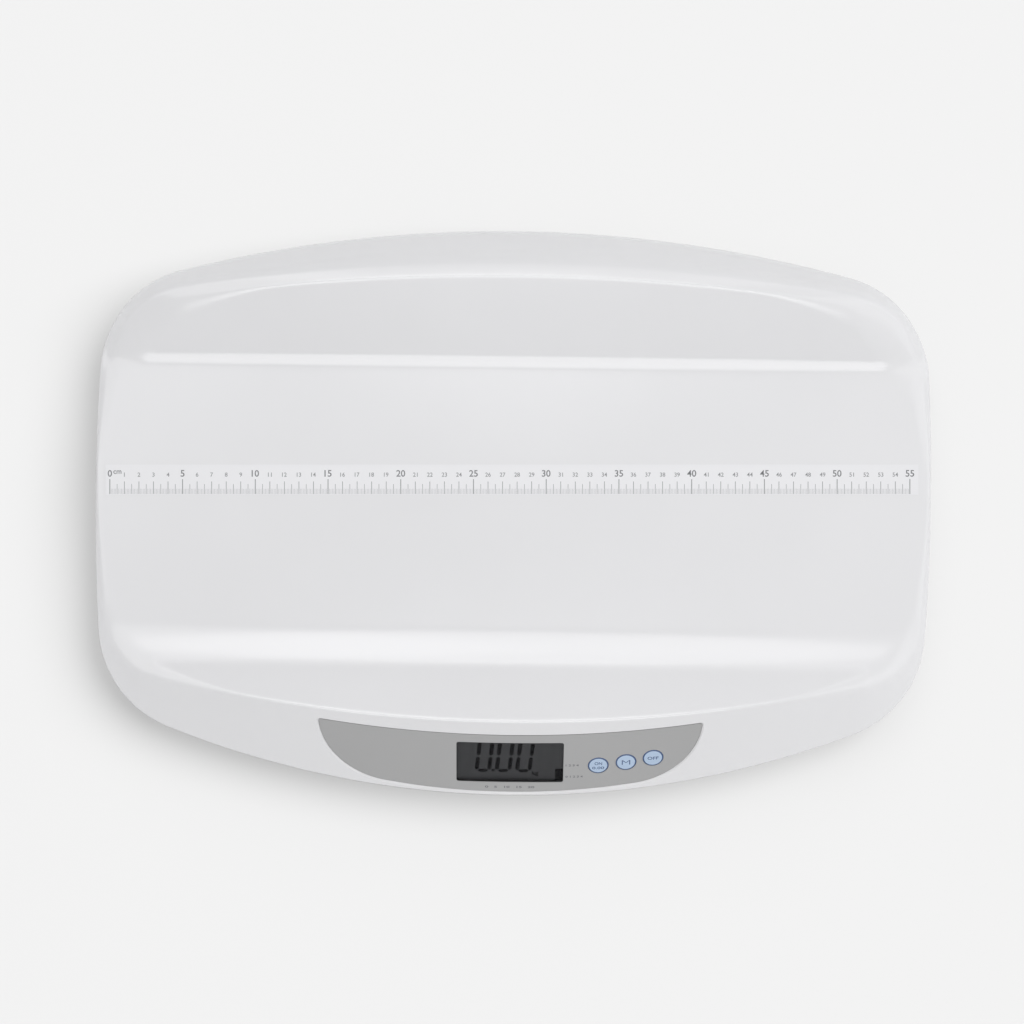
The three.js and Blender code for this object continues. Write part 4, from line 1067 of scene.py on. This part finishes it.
# %% Finishes for the CAD nodes
finishes = {
    "white_plastic": tray_white, "cover_plastic": cover_white, "rule_film": rule_white,
    "silver_film": panel_silver, "clear_plastic": window_clear, "black_plastic": soot_black,
    "display_glass": display_grey, "key_plastic": key_blue, "foot_rubber": foot_rubber,
    "elastomer": grained("elastomer_pink", (0.58, 0.36, 0.4), 0.7, grain=0.4),
    "circuit_board": grained("board_green", (0.02, 0.11, 0.05), 0.4, shade=0.12),
    "ivory_plastic": grained("ivory_plastic", (0.75, 0.7, 0.55), 0.45),
    "bright_steel": grained("bright_steel", (0.6, 0.61, 0.62), 0.3, grain=0.1, metallic=1.0),
    "battery_sleeve": grained("battery_sleeve", (0.04, 0.1, 0.24), 0.35, grain=0.05),
    "black_wire": grained("wire_black", (0.02, 0.02, 0.02), 0.45),
    "red_wire": grained("wire_red", (0.4, 0.02, 0.02), 0.45),
}
slots = {part["node"]: part["material_slot"] for part in frame["record"]["subparts"]}
for node, slot in slots.items():
    mesh = bpy.data.objects[node].data
    mesh.materials.clear()
    mesh.materials.append(finishes[slot])
print("CAD nodes with a finish:", len(slots))

# %% [markdown]
# The scale lay on a pale table, which the picture shows almost white. Brighter lamps would whiten
# the floor, but the tray would then lose its greys. So for the camera the floor adds a little
# light of its own to its colour, and stays pale while its shadows stay soft. Everything else sees
# a plain matt floor.

# %% Floor
floor_half = 6
floor_glow = 0.478
floor_pale = bpy.data.materials.new("floor_pale")
floor_pale.use_nodes = True
nodes, links = floor_pale.node_tree.nodes, floor_pale.node_tree.links
nodes.clear()
plain_floor = nodes.new("ShaderNodeBsdfDiffuse")
plain_floor.inputs["Color"].default_value = (0.12, 0.12, 0.12, 1)
seen_floor = nodes.new("ShaderNodeBsdfDiffuse")
seen_floor.inputs["Color"].default_value = (0.06, 0.06, 0.06, 1)
glow = nodes.new("ShaderNodeEmission")
glow.inputs["Strength"].default_value = floor_glow
both = nodes.new("ShaderNodeAddShader")
chosen = nodes.new("ShaderNodeMixShader")
ray = nodes.new("ShaderNodeLightPath")
output = nodes.new("ShaderNodeOutputMaterial")
links.new(seen_floor.outputs[0], both.inputs[0])
links.new(glow.outputs[0], both.inputs[1])
links.new(ray.outputs["Is Camera Ray"], chosen.inputs[0])
links.new(plain_floor.outputs[0], chosen.inputs[1])
links.new(both.outputs[0], chosen.inputs[2])
links.new(chosen.outputs[0], output.inputs["Surface"])
bm = bmesh.new()
bmesh.ops.create_grid(bm, x_segments=8, y_segments=8, size=floor_half)
floor_mesh = bpy.data.meshes.new("floor")
bm.to_mesh(floor_mesh)
bm.free()
floor_mesh.materials.append(floor_pale)
floor = bpy.data.objects.new("floor", floor_mesh)
bpy.context.scene.collection.objects.link(floor)
print("floor is", 2 * floor_half, "m wide")

# %% [markdown]
# The tray stood in even light from all sides, as in a light tent, with a little more from the
# right. A bright dome gives that, and a soft box on the right and a weak one behind it the rest.
# The glossy bands in the trough's bends and on the corners reflect windows or soft boxes. Bright
# patches on the dome could give them, but would change the plain light too. So five more boxes,
# at the front, at the rear, low at the rear and behind at both sides, show in the gloss alone.

# %% Lights for the scale
world = bpy.data.worlds.new("studio")
bpy.context.scene.world = world
world.use_nodes = True
sky = world.node_tree.nodes["Background"]
sky.inputs["Color"].default_value = (1, 1, 1, 1)
sky.inputs["Strength"].default_value = 0.82
box_distance = 1.6


def leaning(degrees, axis):
    return Matrix.Rotation(math.radians(degrees), 4, axis)


def area_lamp(name, turn, length, depth, power):
    """An oval soft box over the middle of the trough, turned round it from the vertical."""
    light = bpy.data.lights.new(name, "AREA")
    light.shape = "ELLIPSE"
    light.size, light.size_y, light.energy = length, depth, power
    lamp = bpy.data.objects.new(name, light)
    bpy.context.scene.collection.objects.link(lamp)
    lamp.matrix_world = turn @ Matrix.Translation((0, 0, box_distance))
    lamp.visible_camera = False
    return lamp


left_turn = leaning(-38, "Z") @ leaning(-39, "Y")
right_turn = leaning(36, "Z") @ leaning(39, "Y")
gloss_boxes = [
    area_lamp("front_box", leaning(34, "X"), 1.3, 1.7, 16.8),
    area_lamp("rear_box", leaning(-29, "X"), 0.92, 1.48, 9.2),
    area_lamp("low_box", leaning(-53, "X"), 1.8, 0.36, 1.6),
    area_lamp("left_box", left_turn, 1.75, 1.9, 11),
    area_lamp("right_gloss", right_turn, 1.75, 1.9, 2.4),
]
for lamp in gloss_boxes:
    lamp.visible_diffuse = False
area_lamp("right_box", leaning(50, "Y"), 1.6, 1.3, 3.8)
key_box = area_lamp("key_box", leaning(30, "Y") @ leaning(-38, "X"), 1.2, 1.2, 0.8)
key_box.visible_glossy = False
print("gloss boxes:", [lamp.name for lamp in gloss_boxes])

# %% [markdown]
# In the picture the shadow falls in front of the scale and to its left, and it is deeper than the
# even light on the tray would throw. One strong lamp would give it, but would light the tray too.
# Two wide soft suns, from the rear and from the right, are linked to the floor alone: the scale
# still shades the floor from them, while its own light stays even.

# %% Lights for the floor
sun_softness = math.radians(50)
lit_floor = bpy.data.collections.new("lit_floor")
lit_floor.objects.link(floor)


def floor_sun(name, strength, lean, turn):
    """A lamp for the floor alone, which leans to the rear and is turned to the right."""
    light = bpy.data.lights.new(name, "SUN")
    light.energy = strength
    light.angle = sun_softness
    lamp = bpy.data.objects.new(name, light)
    bpy.context.scene.collection.objects.link(lamp)
    lamp.matrix_world = leaning(-turn, "Z") @ leaning(-lean, "X")
    lamp.light_linking.receiver_collection = lit_floor


floor_sun("floor_sun_rear", 5.2, 45, 0)
floor_sun("floor_sun_right", 19.6, 39, 65)
print("lights:", [light.name for light in bpy.data.lights])

# %% [markdown]
# The camera looks straight down from 2.3 m above the floor with a long lens. A flat view without
# perspective would come close, but the rims in the picture lean outwards a little, which fixes
# the distance. It is turned by the small angle at which the scale lay.

# %% Camera
camera_data = bpy.data.cameras.new("camera")
camera_data.lens = 117.7
camera_data.sensor_width = 36
camera_data.clip_end = 20
camera = bpy.data.objects.new("camera", camera_data)
camera.location = (-0.7 * mm, 1.363 * mm, 2.34)
camera.rotation_euler = (0, 0, math.radians(0.7))
bpy.context.scene.collection.objects.link(camera)
bpy.context.scene.camera = camera
bpy.context.scene.view_settings.view_transform = "Standard"
print("camera height", round(camera.location.z, 2))
